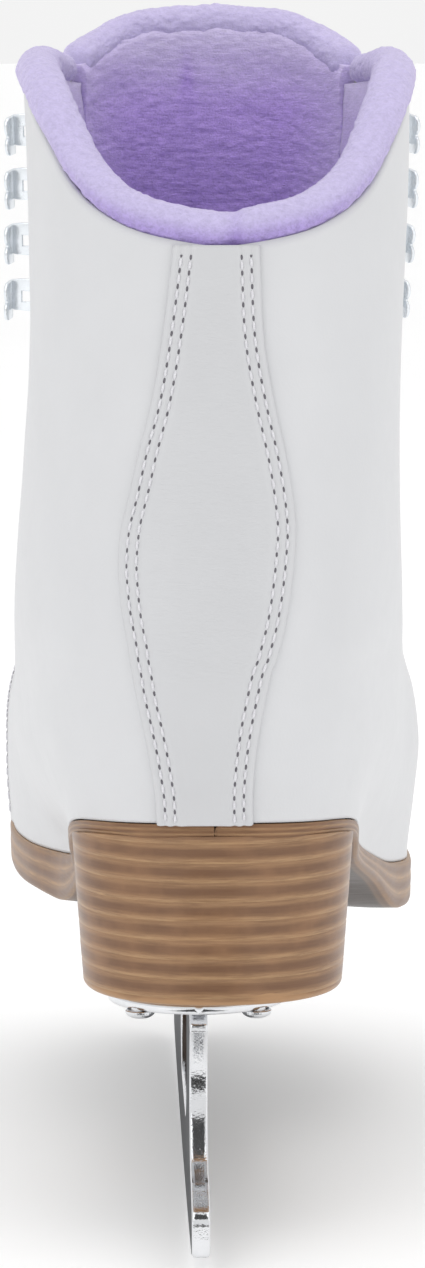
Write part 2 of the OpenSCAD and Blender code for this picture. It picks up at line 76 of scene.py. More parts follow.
BACK = [[0, -110], [.1, -113.5], [.2, -115.5], [.35, -116], [.5, -115], [.6, -112.5], [.7, -108],
        [.8, -103], [.9, -101], [1, -103]]
PLAN_LOW = [[-110, 3.4, 41, 41.5], [-82, 3.4, 39.9, 40.5], [-50, 3.8, 34, 36], [-10, 5, 31.7, 38.2],
            [17, 5.5, 35.5, 42.7], [42, 6, 44.5, 48.3], [80, 5.7, 53, 50],
            [115, 1, 50, 52], [140, -3, 44, 50]]
PLAN_HIGH = [[-110, 3.4, 42, 42], [-80, 3.6, 44.5, 43], [-50, 4.2, 44.5, 43.5], [-10, 5, 45.5, 44.8],
             [40, 6, 49, 50.6], [70, 5.5, 52.8, 51.2], [85, 4.5, 53.2, 50.5],
             [115, 2, 48, 49], [140, -1, 42, 46]]
SHAFT = [[0, 44, 42], [.4, 45.5, 42], [.5, 45.4, 42], [.6, 44.3, 41.5], [.7, 42.5, 41], [.8, 41, 41.2],
         [.9, 41.3, 42.3], [1, 42.8, 42.4]]
SHAFT_X = 4.8
VAMP_SEAM = [[0, 121], [.15, 121.5], [.3, 127], [.4, 142], [.45, 155], [.5, 172.5]]
FACING = [[.5, 172.5], [.6, 162], [.7, 150.5], [.8, 140], [.9, 132], [1, 127]]
COLLAR = [[0, .869], [23, .883], [42, .905], [56, .93], [73, .953], [95, .9635], [127, .9635]]
TONGUE_TOP = [[0, .9935], [20, .989], [35, .9785], [53, .9655]]
BACKSTAY = [[0, 10.5, 9.7], [.08, 11, 9.6], [.13, 11.9, 10], [.18, 13.2, 10.9], [.24, 14.6, 12.1],
            [.31, 15.6, 13.2], [.46, 17.1, 14.7], [.56, 18.9, 16.2], [.61, 19.4, 16.9],
            [.65, 18.8, 17.2], [.68, 17.4, 16.6], [.72, 15.5, 15.1], [.76, 13, 13], [.81, 10.6, 10.7],
            [.865, 8.4, 9.9]]
BACKSTAY_X = -1.8
COLLAR_A = 127
THROAT_H = 0.5
VAMP_TOP_H = 0.496
TONGUE_BASE_H = 0.506
TONGUE_GAP_A = 1.1
TONGUE_TOP_A = 52.
LEATHER, GAP = 1.8, 0.4
BACKSTAY_FACE = GAP / 2 + 1.25
MIDDLE_OUT, MIDDLE_IN = -2.2, -3.4
FUR_OUT, FUR_IN = -3.8, -7.0
TONGUE_LEATHER, TONGUE_FOAM = 1.4, 3.2
TONGUE_IN = -7.8
HOOK_H = [.931, .897, .861, .822]
EYELET_H = [.775, .73, .685, .64, .595, .55]
HOOK_INSET = {-1: (11.5, 111), 1: (9, 50)}
EYELET_INSET_A = 9
EYELET_HOLE_R = 2.75
SOLE_PLATE_Y = (26, 118)
HEEL_PLATE_Y = (-104, -54)
PLATE_T = 3
HEEL_SCREWS = [(-12.5, -97), (12.5, -97), (-12.5, -61), (12.5, -61)]
SOLE_SCREWS = [(-13, 34), (13, 34), (-16, 62), (16, 62), (-14, 106), (14, 106)]


def ease(a, b, x):
    t = np.clip((np.asarray(x, float) - a) / (b - a), 0, 1)
    return t * t * (3 - 2 * t)


def mix(a, b, t):
    return a * (1 - t) + b * t


def curve(keys, s, c=1):
    """Smooth value through the keys of column c, at s."""
    k = np.asarray(keys, float)
    xs, ys, s = k[:, 0], k[:, c], np.asarray(s, float)
    rise = np.diff(ys) / np.diff(xs)
    slope = np.empty_like(ys)
    slope[0], slope[-1] = rise[0], rise[-1]
    back, on = np.diff(xs)[:-1], np.diff(xs)[1:]
    slope[1:-1] = (rise[:-1] * on + rise[1:] * back) / (back + on)
    sc = np.clip(s, xs[0], xs[-1])
    i = np.clip(np.searchsorted(xs, sc, side="right") - 1, 0, len(xs) - 2)
    d = xs[i + 1] - xs[i]
    t = (sc - xs[i]) / d
    return ((2 * t**3 - 3 * t**2 + 1) * ys[i] + (t**3 - 2 * t**2 + t) * d * slope[i]
            + (3 * t**2 - 2 * t**3) * ys[i + 1] + (t**3 - t**2) * d * slope[i + 1])


def sole_line(x, y):
    t = (np.asarray(x) - SOLE_LINE_X[0]) / (SOLE_LINE_X[1] - SOLE_LINE_X[0])
    return mix(curve(SOLE_LINE, y, 1), curve(SOLE_LINE, y, 2), t)


def sole_under(y):
    return curve(SOLE_UNDER, y)


def ball_lift(x, y):
    return ease(0, 40, y) * (3 * ease(18, 34, -x) - 1.4 * ease(27, 46, x))


def shaft_share(h):
    return ease(.2, .75, h)


def corner(h):
    return mix(.6, .72, shaft_share(h))


def half_width(y, h, medial):
    e, s = ease(0, .22, h), shaft_share(h)
    m = mix(mix(curve(PLAN_LOW, y, 2), curve(PLAN_HIGH, y, 2), e), curve(SHAFT, h, 1), s)
    l = mix(mix(curve(PLAN_LOW, y, 3), curve(PLAN_HIGH, y, 3), e), curve(SHAFT, h, 2), s)
    return np.where(medial, m, l)


def skin(a, h):
    """Point of the upper at angle a from the back, lateral side positive, and level h."""
    a, h = np.broadcast_arrays(np.asarray(a, float), np.asarray(h, float))
    r = np.radians(a)
    y = mix(curve(BACK, h), curve(FRONT, h, 1), (1 - np.cos(r)) / 2)
    medial = np.sin(r) < 0
    xc = mix(mix(curve(PLAN_LOW, y, 1), curve(PLAN_HIGH, y, 1), ease(0, .22, h)), SHAFT_X, shaft_share(h))
    x = xc + np.where(medial, -1, 1) * half_width(y, h, medial) * np.abs(np.sin(r)) ** corner(h)
    z = curve(FRONT, h, 2) + (sole_line(x, y) - 60) * (1 - ease(0, .8, h))
    return np.stack([x, y, z], -1)


def unit(v):
    return v / np.maximum(np.linalg.norm(v, axis=-1, keepdims=True), 1e-12)


def skin_normal(a, h):
    a, h = np.broadcast_arrays(np.asarray(a, float), np.asarray(h, float))
    up = skin(a, h + .004) - skin(a, np.maximum(0, h - .004))
    return unit(np.cross(skin(a + 1, h) - skin(a - 1, h), up))


def on_skin(a, h, off):
    return skin(a, h) + np.asarray(off)[..., None] * skin_normal(a, h)


def front_edge(h):
    h = np.asarray(h, float)
    return np.where(h < THROAT_H, curve(VAMP_SEAM, h), curve(FACING, h))


def tongue_half_a(h):
    return 180 - front_edge(h) - TONGUE_GAP_A


def back_angle(x, h):
    w = half_width(curve(BACK, h), h, np.asarray(x) < 0)
    return np.sign(x) * np.degrees(np.arcsin(np.minimum(1, np.abs(x) / w) ** (1 / corner(h))))


def rim(a, off):
    """Point of the sole line at angle a, pushed outwards in plan."""
    n = skin_normal(a, 0 * np.asarray(a, float))
    n = unit(n * [1, 1, 0])
    return skin(a, 0 * np.asarray(a, float)) + np.asarray(off)[..., None] * n


def noise(p, size, seed=0):
    """Smooth random value from -1 to 1 at points p, with lumps of the given size in each direction."""
    q = p / np.asarray(size, float)
    i = np.floor(q).astype(np.int64)
    f = q - i
    f = f * f * (3 - 2 * f)
    total = 0
    for dx in (0, 1):
        for dy in (0, 1):
            for dz in (0, 1):
                n = (((i[..., 0] + dx) * 73856093) ^ ((i[..., 1] + dy) * 19349663)
                     ^ ((i[..., 2] + dz) * 83492791))
                n = (n ^ (seed * 7919 + 101)) & 0xffffffff
                n = ((n ^ (n >> 15)) * 2246822519) & 0xffffffff
                n = ((n ^ (n >> 13)) * 3266489917) & 0xffffffff
                v = ((n ^ (n >> 16)) & 0xffff) / 32767.5 - 1
                w = ((f[..., 0] if dx else 1 - f[..., 0]) * (f[..., 1] if dy else 1 - f[..., 1])
                     * (f[..., 2] if dz else 1 - f[..., 2]))
                total = total + v * w
    return total


# ---------------------------------------------------------------- materials
def material(name, rough=.5, metallic=0., **fixed):
    """A new material and its tools: its node tree, its shader and its place in millimetres."""
    m = bpy.data.materials.new(name)
    m.use_nodes = True
    nt = m.node_tree
    bsdf = nt.nodes["Principled BSDF"]
    bsdf.inputs["Roughness"].default_value = rough
    bsdf.inputs["Metallic"].default_value = metallic
    for key, value in fixed.items():
        bsdf.inputs[key.replace("_", " ")].default_value = value
    where = nt.nodes.new("ShaderNodeTexCoord").outputs["Object"]
    return m, nt, bsdf, where


def put(nt, kind, props=(), **inputs):
    """A node with its inputs set from values or linked from sockets."""
    n = nt.nodes.new("ShaderNode" + kind)
    for key, value in dict(props).items():
        setattr(n, key, value)
    for key, value in inputs.items():
        s = n.inputs[int(key[1:])] if key[0] == "i" and key[1:].isdigit() else n.inputs[key.replace("_", " ")]
        if isinstance(value, bpy.types.NodeSocket):
            nt.links.new(value, s)
        else:
            s.default_value = value
    return n


def grain(nt, where, size, detail=2., stretch=(1, 1, 1), kind="Noise", rough=.5):
    """Texture with lumps of the given size in millimetres."""
    scaled = put(nt, "Mapping", Vector=where, Scale=[1 / (s * MM * size) for s in stretch]).outputs[0]
    if kind == "Voronoi":
        return put(nt, "TexVoronoi", Vector=scaled, Scale=1., Randomness=1.).outputs["Distance"]
    return put(nt, "TexNoise", Vector=scaled, Scale=1., Detail=detail, Roughness=rough).outputs["Fac"]


def ramp(nt, fac, *stops):
    """Colours along a value, each stop a place and a colour."""
    n = put(nt, "ValToRGB", i0=fac)
    e = n.color_ramp.elements
    while len(e) < len(stops):
        e.new(1)
    for item, (place, colour) in zip(e, stops):
        item.position = place
        item.color = (*colour, 1) if hasattr(colour, "__len__") else (colour, colour, colour, 1)
    return n.outputs["Color"]


def blend(nt, fac, a, b):
    """Colour between a and b."""
    n = put(nt, "Mix", {"data_type": "RGBA"})
    for socket, value in ((n.inputs[0], fac), (n.inputs[6], a), (n.inputs[7], b)):
        if isinstance(value, bpy.types.NodeSocket):
            nt.links.new(value, socket)
        else:
            socket.default_value = (*value, 1) if hasattr(value, "__len__") else value
    return n.outputs[2]


def calc(nt, op, *values):
    return put(nt, "Math", {"operation": op}, **{f"i{k}": v for k, v in enumerate(values)}).outputs[0]


def stored(nt, name):
    return put(nt, "Attribute", {"attribute_name": name}).outputs["Fac"]


def wire(nt, bsdf, **sockets):
    for key, value in sockets.items():
        nt.links.new(value, bsdf.inputs[key.replace("_", " ")])


def bump(nt, height, strength, depth, over=None):
    n = put(nt, "Bump", Height=height, Strength=strength, Distance=depth * MM)
    if over is not None:
        nt.links.new(over, n.inputs["Normal"])
    return n.outputs[0]


def leather(name, colour, creased=False):
    """White coated leather: fine pebble grain, faint mottling, and creases across the backstay."""
    m, nt, bsdf, where = material(name, rough=.42, Specular_IOR_Level=.45,
                                  Coat_Weight=.12, Coat_Roughness=.35)
    mottle = grain(nt, where, 16, 3)
    dirt = grain(nt, where, 3.2, 4, rough=.6)
    base = ramp(nt, mottle, (.3, [c * .975 for c in colour]), (.7, colour))
    wire(nt, bsdf, Base_Color=blend(nt, calc(nt, "MULTIPLY", dirt, .05), base, [c * .8 for c in colour]),
         Roughness=calc(nt, "ADD", calc(nt, "MULTIPLY", dirt, .16), .34))
    pebble = bump(nt, grain(nt, where, .55, kind="Voronoi"), .12, .10)
    fine = bump(nt, grain(nt, where, .25, 3), .10, .06, pebble)
    if creased:
        lines = grain(nt, where, 1, 4, (7, 3, .62), rough=.62)
        fine = bump(nt, calc(nt, "MULTIPLY", lines, stored(nt, "crease")), .55, .34, fine)
    wire(nt, bsdf, Normal=fine)
    return m


def fur(name, light, deep, strands):
    """Short brushed pile with the sheen of plush: its light tone goes over into a darker tone where a stored
    painted shade says so.
    """
    m, nt, bsdf, where = material(name, rough=.95, Sheen_Weight=.9, Sheen_Roughness=.45,
                                  Sheen_Tint=(.86, .80, 1, 1), Specular_IOR_Level=.15)
    brush = grain(nt, where, 1, 4, strands, rough=.65)
    speck = grain(nt, where, .45, 3, rough=.7)
    tips = calc(nt, "ADD", calc(nt, "MULTIPLY", brush, .6), calc(nt, "MULTIPLY", speck, .4))
    tint = ramp(nt, tips, (.34, [c * .80 for c in light]), (.60, light))
    # darker tone for painted shade, mixed in by the stored painted shade
    painted_shade_tone = ramp(nt, tips, (.34, [c * .66 for c in deep]), (.62, [min(1, c * 1.12) for c in deep]))
    wire(nt, bsdf, Base_Color=blend(nt, stored(nt, "deep"), tint, painted_shade_tone))
    wire(nt, bsdf, Normal=bump(nt, speck, .55, .35, bump(nt, brush, .5, .5)))
    return m


def metal(name, colour, rough, dent, dent_size, brushed=(1, 1, 1), haze=.10, **fixed):
    """Plated metal with faint hammer marks, polishing lines and handling haze."""
    m, nt, bsdf, where = material(name, rough=rough, metallic=1., **fixed)
    marks = grain(nt, where, dent_size, 2)
    lines = grain(nt, where, .5, 3, brushed)
    cloud = grain(nt, where, 7, 4, rough=.6)
    wire(nt, bsdf, Base_Color=ramp(nt, cloud, (.3, [c * .90 for c in colour]), (.7, colour)),
         Roughness=calc(nt, "ADD", calc(nt, "MULTIPLY", cloud, haze), rough - haze / 2))
    fine = bump(nt, lines, .10, .05)
    wire(nt, bsdf, Normal=bump(nt, marks, 1., dent, fine))
    return m


def stacked(name, waver, edge, coat):
    """Stained layers: light bands between dark ones, along a stored level that wavers a little."""
    m, nt, bsdf, where = material(name, rough=.34, Coat_Weight=coat, Coat_Roughness=.22,
                                  Specular_IOR_Level=.25)
    streak = grain(nt, where, 1, 5, (8, 8, .5), rough=.7)
    blot = grain(nt, where, 9, 3)
    wander = calc(nt, "SUBTRACT", grain(nt, where, 6, 2, (3, 3, 1)), .5)
    level = calc(nt, "ADD", stored(nt, "level"), calc(nt, "MULTIPLY", wander, waver))
    phase = calc(nt, "FRACT", level)
    brown = ramp(nt, phase, (.0, (.42, .26, .135)), (.12, (.40, .24, .125)), (.27, (.27, .15, .076)),
                 (.42, (.185, .095, .050)), (.66, (.190, .098, .052)), (.86, (.32, .185, .095)))
    pore = calc(nt, "MULTIPLY", ramp(nt, streak, (.36, 1.), (.62, 0.)), .55)
    brown = blend(nt, pore, brown, (.15, .075, .040))
    brown = blend(nt, calc(nt, "MULTIPLY", ramp(nt, blot, (.45, 0.), (.75, 1.)), .35), brown, (.37, .20, .10))
    wire(nt, bsdf, Base_Color=blend(nt, stored(nt, "edge"), brown, edge),
         Roughness=calc(nt, "ADD", calc(nt, "MULTIPLY", streak, .22), .24))
    wire(nt, bsdf, Normal=bump(nt, streak, .22, .14, bump(nt, grain(nt, where, .3, 2), .08, .05)))
    return m


def plain(name, dark, light, size, rough, depth=.1, stretch=(1, 1, 1), kind="Noise", **fixed):
    """A matt solid with its own fine texture."""
    m, nt, bsdf, where = material(name, rough=rough, **fixed)
    tex = grain(nt, where, size, 4, stretch, kind, rough=.6)
    cloud = grain(nt, where, size * 9, 2)
    tone = ramp(nt, tex, (.3, dark), (.7, light))
    wire(nt, bsdf, Base_Color=blend(nt, calc(nt, "MULTIPLY", cloud, .25), tone, dark),
         Roughness=calc(nt, "ADD", calc(nt, "MULTIPLY", tex, .15), rough - .07),
         Normal=bump(nt, tex, .4, depth))
    return m


# ---------------------------------------------------------------- mesh tools
def linked(name, data):
    """A new object in the scene."""
    obj = bpy.data.objects.new(name, data)
    bpy.context.scene.collection.objects.link(obj)
    return obj


def add(name, verts, faces, mat, body="boot", slot=None, replaces=(), smooth=True, **stored_values):
    """A closed mesh from points in millimetres, riding on a body if one is given."""
    mesh = bpy.data.meshes.new(name)
    faces = faces if isinstance(faces, list) else faces.tolist()
    mesh.from_pydata((np.asarray(verts, float) * MM).tolist(), [], faces)
    bm = bmesh.new()
    bm.from_mesh(mesh)
    bmesh.ops.recalc_face_normals(bm, faces=bm.faces)
    bm.to_mesh(mesh)
    bm.free()
    for key, values in stored_values.items():
        layer = mesh.attributes.new(key, "FLOAT", "POINT")
        layer.data.foreach_set("value", np.asarray(values, np.float32).ravel())
    mesh.polygons.foreach_set("use_smooth", [smooth] * len(mesh.polygons))
    mesh.materials.append(mat)
    obj = linked(name, mesh)
    if body:
        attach(obj, body)
    if replaces:
        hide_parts(*replaces)
    return obj


def quads(nj, ni, wrap=False):
    """Faces of a grid of points, nj rows of ni."""
    j, i = np.meshgrid(np.arange(nj - 1), np.arange(ni if wrap else ni - 1), indexing="ij")
    k = (i + 1) % ni
    return np.stack([j * ni + i, j * ni + k, (j + 1) * ni + k, (j + 1) * ni + i], -1).reshape(-1, 4)


def shell(outer, inner):
    """Closed sheet between two grids of points."""
    nj, ni = outer.shape[:2]
    n = nj * ni
    at = np.arange(n).reshape(nj, ni)
    loop = np.concatenate([at[0, :-1], at[:-1, -1], at[-1, :0:-1], at[:0:-1, 0]])
    on = np.roll(loop, -1)
    wall = np.stack([loop, on, on + n, loop + n], -1)
    return (np.concatenate([outer.reshape(-1, 3), inner.reshape(-1, 3)]),
            np.concatenate([quads(nj, ni), quads(nj, ni)[:, ::-1] + n, wall]))


def lofted(rings):
    """Closed solid along rings of points, with flat ends."""
    nj, ni = rings.shape[:2]
    return rings.reshape(-1, 3), ([list(map(int, f)) for f in quads(nj, ni, wrap=True)]
                                  + [list(range(ni)), list(range((nj - 1) * ni, nj * ni))])


def along(p, axis):
    """Distance along a grid's rows or columns, from the start."""
    d = np.linalg.norm(np.diff(p, axis=axis), axis=-1)
    pad = [(0, 0), (0, 0)]
    pad[axis] = (1, 0)
    return np.cumsum(np.pad(d, pad), axis)


def edge_distance(p, side):
    """Distance of each point from the low or high row, or the first or last column."""
    d = along(p, 0 if side in ("low", "high") else 1)
    return d if side in ("low", "first") else (d[-1:] - d if side == "high" else d[:, -1:] - d)


def rounding(d, r):
    """How far a rounded edge of radius r falls away at distance d from it."""
    t = 1 - np.clip(d / r, 0, 1)
    return r * (1 - np.sqrt(np.maximum(0, 1 - t * t)))


def closer(n, ends, fine):
    """Places from 0 to 1, with extra ones near the ends that are asked for."""
    w = np.linspace(0, 1, n)
    extra = np.array([.15, .4, .75, 1.2, 1.8, 2.6]) * fine
    if "first" in ends:
        w = np.concatenate([w, extra])
    if "last" in ends:
        w = np.concatenate([w, 1 - extra])
    return np.unique(np.round(w, 6))


# ---------------------------------------------------------------- the white leather
def seam_lift(d, h):
    """Where the quarters lie over the vamp: 1 at their front edge, below the throat."""
    return (1 - ease(3, 9, d)) * (1 - ease(.44, .5, h))


def soft_relief(p):
    """The shallow unevenness of leather that was lasted and creased a little."""
    return .20 * noise(p, (30, 30, 22), 3) + .09 * noise(p, (12, 12, 9), 4)


SEAM_LIFT = .75
QUARTER_L = 150


def quarter_places(side, cols=118, rows=148):
    u = closer(cols, ("last",), 1 / (1.5 * QUARTER_L)) ** 1.5
    v = np.linspace(0, 1, rows)[:, None]
    h = v * curve(COLLAR, u * COLLAR_A)[None, :]
    return side * u[None, :] * front_edge(h), h


def subtract(obj, bm, name, use_self=False):
    """Cut a bmesh's solids out of an object."""
    mesh = bpy.data.meshes.new(name)
    bm.to_mesh(mesh)
    bm.free()
    tool = linked(name, mesh)
    mod = obj.modifiers.new(name, "BOOLEAN")
    mod.operation, mod.solver, mod.use_self, mod.object = "DIFFERENCE", "EXACT", use_self, tool
    dg = bpy.context.evaluated_depsgraph_get()
    cut = bpy.data.meshes.new_from_object(obj.evaluated_get(dg), preserve_all_data_layers=True, depsgraph=dg)
    obj.modifiers.clear()
    old, obj.data = obj.data, cut
    bpy.data.meshes.remove(old)
    bpy.data.objects.remove(tool)


def cut_eyelet_holes(obj, side):
    """The eyelets' round holes through a panel, straight along its normal."""
    bm = bmesh.new()
    for h in EYELET_H:
        a = side * (front_edge(h) - EYELET_INSET_A)
        turn = Vector(skin_normal(a, h)).to_track_quat("Z", "Y").to_matrix().to_4x4()
        place = Matrix.Translation(Vector(skin(a, h)) * MM) @ turn
        bmesh.ops.create_cone(bm, cap_ends=True, segments=28, radius1=EYELET_HOLE_R * MM,
                              radius2=EYELET_HOLE_R * MM, depth=26 * MM, matrix=place)
    subtract(obj, bm, "holes")


LEATHER_TONE = (.655, .66, .675)
BACKSTAY_TONE = (.605, .61, .625)
white_leather = leather("white_leather", LEATHER_TONE)
backstay_leather = leather("backstay_leather", BACKSTAY_TONE, creased=True)

for side, tag in ((-1, "medial"), (1, "lateral")):
    a, h = quarter_places(side)
    p, n = skin(a, h), skin_normal(a, h)
    d = edge_distance(p, "last")
    lift = seam_lift(d, h)
    outer = p + n * (SEAM_LIFT * lift - rounding(d, .8) + soft_relief(p))[..., None]
    inner = p + n * (-LEATHER + 1.35 * lift)[..., None]
    panel = add("quarter_leather_" + tag, *shell(outer, inner), white_leather, slot="white_leather",
                replaces=["quarter_" + tag])
    cut_eyelet_holes(panel, side)

UNDERLAP_A = 5.5
w = np.linspace(-1, 1, 150)
h = np.unique(np.concatenate([np.linspace(0, VAMP_TOP_H, 96), np.linspace(.47, VAMP_TOP_H, 14)]))[:, None]
reach = 180 - front_edge(h) + mix(UNDERLAP_A, -.4, ease(.42, .485, h))
a = 180 + np.sign(w) * np.abs(w) ** 1.35 * reach
p, n = skin(a, h), skin_normal(a, h)
degree = np.linalg.norm(skin(a + .5, h) - skin(a - .5, h), axis=-1)
past = (np.abs(a - 180) - (180 - front_edge(h))) * degree
dip = ease(-5, .5, past) * (1 - ease(.44, .49, h))
fall = rounding(edge_distance(p, "high"), .7)
outer = p + n * (soft_relief(p) - .55 * dip - .30 * ease(.2, 1.5, past) - fall)[..., None]
inner = p + n * (-LEATHER - .35 * dip)[..., None]
add("vamp_leather", *shell(outer, inner), white_leather, slot="white_leather", replaces=["vamp"])

# The backstay, with its double rows of stitching set from its edges
BACKSTAY_TOP = .870
ROW_IN = (2.0, 3.95)


def backstay_half(x_off, h):
    """Width of the backstay from its middle line, on the side that x_off is on."""
    return np.where(np.asarray(x_off) < 0, curve(BACKSTAY, h, 1), curve(BACKSTAY, h, 2))


def backstay_place(x_off, h):
    """Angle of the place x_off from the backstay's middle line."""
    return back_angle(BACKSTAY_X + x_off, h)


def backstay_relief(p, x_off, h):
    from_edge = backstay_half(x_off, h) - np.abs(x_off)
    rows = sum(np.exp(-((from_edge - r) / .45) ** 2) for r in ROW_IN)
    puff = (np.exp(-((from_edge - sum(ROW_IN) / 2) / .7) ** 2)
            + .8 * np.exp(-((from_edge - ROW_IN[1] - 1.3) / .9) ** 2))
    inside = ease(ROW_IN[1] + .4, ROW_IN[1] + 3, from_edge) * ease(.22, .34, h) * (1 - ease(.83, .87, h))
    creases = noise(p, (8, 8, 1.0), 11) * .55 + noise(p, (4.5, 4.5, .62), 12) * .45
    return .16 * puff - .26 * rows + .085 * inside * creases + .25 * soft_relief(p), inside


h = np.linspace(0, BACKSTAY_TOP, 330)[:, None]
across = closer(66, ("first", "last"), 1 / 30) * 2 - 1
x_off = across[None, :] * backstay_half(across[None, :], h)
a = backstay_place(x_off, h)
p, n = skin(a, h), skin_normal(a, h)
edge = np.minimum(edge_distance(p, "first"), edge_distance(p, "last"))
relief, inside = backstay_relief(p, x_off, h)
outer = p + n * (BACKSTAY_FACE + relief - rounding(edge, 1.05))[..., None]
inner = p + n * np.full(h.shape, -.15)[..., None]
verts, faces = shell(outer, inner)
add("backstay_leather", verts, faces, backstay_leather, slot="white_leather", replaces=["backstay"],
    crease=np.concatenate([inside.ravel(), 0 * inside.ravel()]))


# ---------------------------------------------------------------- stitching
def resampled(p, n, at):
    s = np.concatenate([[0], np.cumsum(np.linalg.norm(np.diff(p, axis=0), axis=1))])
    pick = lambda v: np.stack([np.interp(at, s, v[:, c]) for c in range(3)], -1)
    return pick(p), unit(pick(n)), s[-1]


def stitch_row(p, n, pitch, length, radius, rise, flat=1., phase=.5, sides=6, rings=7):
    """Points and faces of separate stitches along a line on the leather."""
    total = resampled(p, n, np.zeros(1))[2]
    count = int(total / pitch)
    t = np.linspace(-1, 1, rings)
    at = (np.arange(count)[:, None] + phase) * total / count + t[None, :] * length / 2
    c, up, _ = resampled(p, n, np.clip(at, 0, total).ravel())
    c, up = c.reshape(count, rings, 3), up.reshape(count, rings, 3)
    way = unit(np.gradient(c, axis=1))
    side = unit(np.cross(way, up))
    arch = rise * (1 - t**2) - .9 * radius * t**4 * (rise > 0)
    r = radius * np.sqrt(np.maximum(.02, 1 - np.abs(t) ** 3))
    turn = np.arange(sides) * 2 * np.pi / sides
    ring = (side[:, :, None] * (np.cos(turn)[:, None] * r[None, :, None, None])
            + up[:, :, None] * (np.sin(turn)[:, None] * r[None, :, None, None] * flat))
    verts = (c + up * arch[None, :, None])[:, :, None] + ring
    one = [list(map(int, f)) for f in quads(rings, sides, wrap=True)]
    one += [list(range(sides)), list(range((rings - 1) * sides, rings * sides))]
    faces = [[v + k * rings * sides for v in f] for k in range(count) for f in one]
    return verts.reshape(-1, 3), faces


def joined(parts):
    verts, faces, base = [], [], 0
    for v, f in parts:
        verts.append(v)
        faces += [[i + base for i in q] for q in f]
        base += len(v)
    return np.concatenate(verts), faces


def facing_line(side, inset, low, high, lifted):
    """A line on one quarter at a distance from its front edge, between two levels."""
    h = np.linspace(low, high, 160)
    edge = side * front_edge(h)
    degree = np.linalg.norm(skin(edge, h) - skin(edge - side, h), axis=-1)
    a = edge - side * inset / degree
    p, n = skin(a, h), skin_normal(a, h)
    return p + n * (soft_relief(p) + lifted * seam_lift(inset, h))[:, None], n


STITCH = 3.25
thread = plain("thread", (.62, .61, .65), (.84, .84, .86), .35, .7, depth=.08, stretch=(1, 1, .6),
               Sheen_Weight=.3)
# dark capsules at the stitch holes: the needle holes, with the shade inside them painted dark
hole_shade = plain("hole_shade", (.10, .095, .11), (.20, .19, .21), .5, .9)

rows, holes = [], []
for sign in (-1, 1):
    for inset in ROW_IN:
        h = np.linspace(.004, BACKSTAY_TOP - .006, 400)
        x_off = sign * (backstay_half(sign, h) - inset)
        a = backstay_place(x_off, h)
        p, n = skin(a, h), skin_normal(a, h)
        line = p + n * (BACKSTAY_FACE + backstay_relief(p, x_off, h)[0])[:, None]
        shift = .5 if inset == ROW_IN[0] else .35
        rows.append(stitch_row(line, n, STITCH, 2.2, .30, .26, phase=shift))
        # painted shade of the needle holes beside each stitch
        holes.append(stitch_row(line, n, STITCH, 1.5, .27, .07, flat=.5, phase=shift + .5))
add("backstay_thread", *joined(rows), thread)
add("backstay_hole_shades", *joined(holes), hole_shade)

# Rows along the facing and the vamp's seam: inset, lowest and highest level, lift, thread radius and rise
UPPER_ROWS = ((2.0, .512, .955, 0., .24, .16), (15.5, .56, .955, 0., .24, .16),
              (2.0, .012, .488, SEAM_LIFT, .25, .18), (4.4, .012, .488, SEAM_LIFT, .25, .18))
rows, holes = [], []
for side in (-1, 1):
    for inset, low, high, lifted, radius, rise in UPPER_ROWS:
        line = facing_line(side, inset, low, high, lifted)
        rows.append(stitch_row(*line, 3.0, 2.2, radius, rise))
        # painted shade of the needle holes beside each stitch
        holes.append(stitch_row(*line, 3.0, 1.0, .18, .0, flat=.5, phase=1.))
add("upper_thread", *joined(rows), thread)
add("upper_hole_shades", *joined(holes), hole_shade)

# ---------------------------------------------------------------- the fur
# Each fur has a lit tone and a darker painted-shade tone; the lining's lit tone is lighter than the roll's,
# as painted light inside the boot.
roll_fur = fur("roll_fur", (.60, .54, .80), (.38, .27, .66), (1.4, 1.4, .9))
lining_fur = fur("lining_fur", (.74, .66, .93), (.60, .44, .97), (2.0, 2.0, .45))
LINING_BRUSH = (2.2, 2.2, .8)
ROLL_STEP = .42


def pile(p, seed, brush=(1.5, 1.5, 1.1), depth=.22):
    """Clumps, brushed lines and single tufts of short plush."""
    tuft = noise(p, .62, seed + 2)
    return (depth * noise(p, brush, seed) + .18 * noise(p, (7, 7, 5), seed + 1)
            + depth * .8 * np.clip(tuft, 0, 1) ** 2 + .10 * noise(p, .5, seed + 3))


def fur_roll(name, a, level, wall_in, width, height, lift, seed, taper=0., sides=76, **where):
    """Roll of fur over the top edge of a wall, thinner by the taper at its ends and rounded off there."""
    up = unit(skin(a, level + .01) - skin(a, level - .01))
    n = skin_normal(a, level)
    c = on_skin(a, level, np.full(a.shape, wall_in / 2)) + lift * up
    s = np.concatenate([[0], np.cumsum(np.linalg.norm(np.diff(c, axis=0), axis=1))])
    end = np.minimum(s, s[-1] - s)
    cap = np.sqrt(np.maximum(.004, 1 - (1 - np.clip(end / 3.4, 0, 1)) ** 2))
    cap = cap * (1 - taper * (1 - ease(0, 22, end)))
    turn = np.arange(sides) * 2 * np.pi / sides
    grow = cap[:, None] * np.ones(sides)
    way = (np.cos(turn)[:, None] * n[:, None] * (width / 2)
           + np.sin(turn)[:, None] * up[:, None] * (height / 2))
    p = c[:, None] + way * grow[..., None]
    out = unit(way)
    slack = pile(p, seed) + .22 * noise(p, (16, 16, 16), seed + 5)
    seam = np.exp(-((a[:, None] - 1.5) / 1.1) ** 2) * .45
    p = p + out * ((slack - seam - .25) * grow)[..., None]
    # painted shade: under the roll's lower edge, and in the dip of its seam at the back
    deep = .85 * roll_shade(p, turn) + .45 * seam
    verts, faces = lofted(p)
    return add(name, verts, faces, roll_fur, slot="lavender_fur", deep=deep.ravel(), **where)


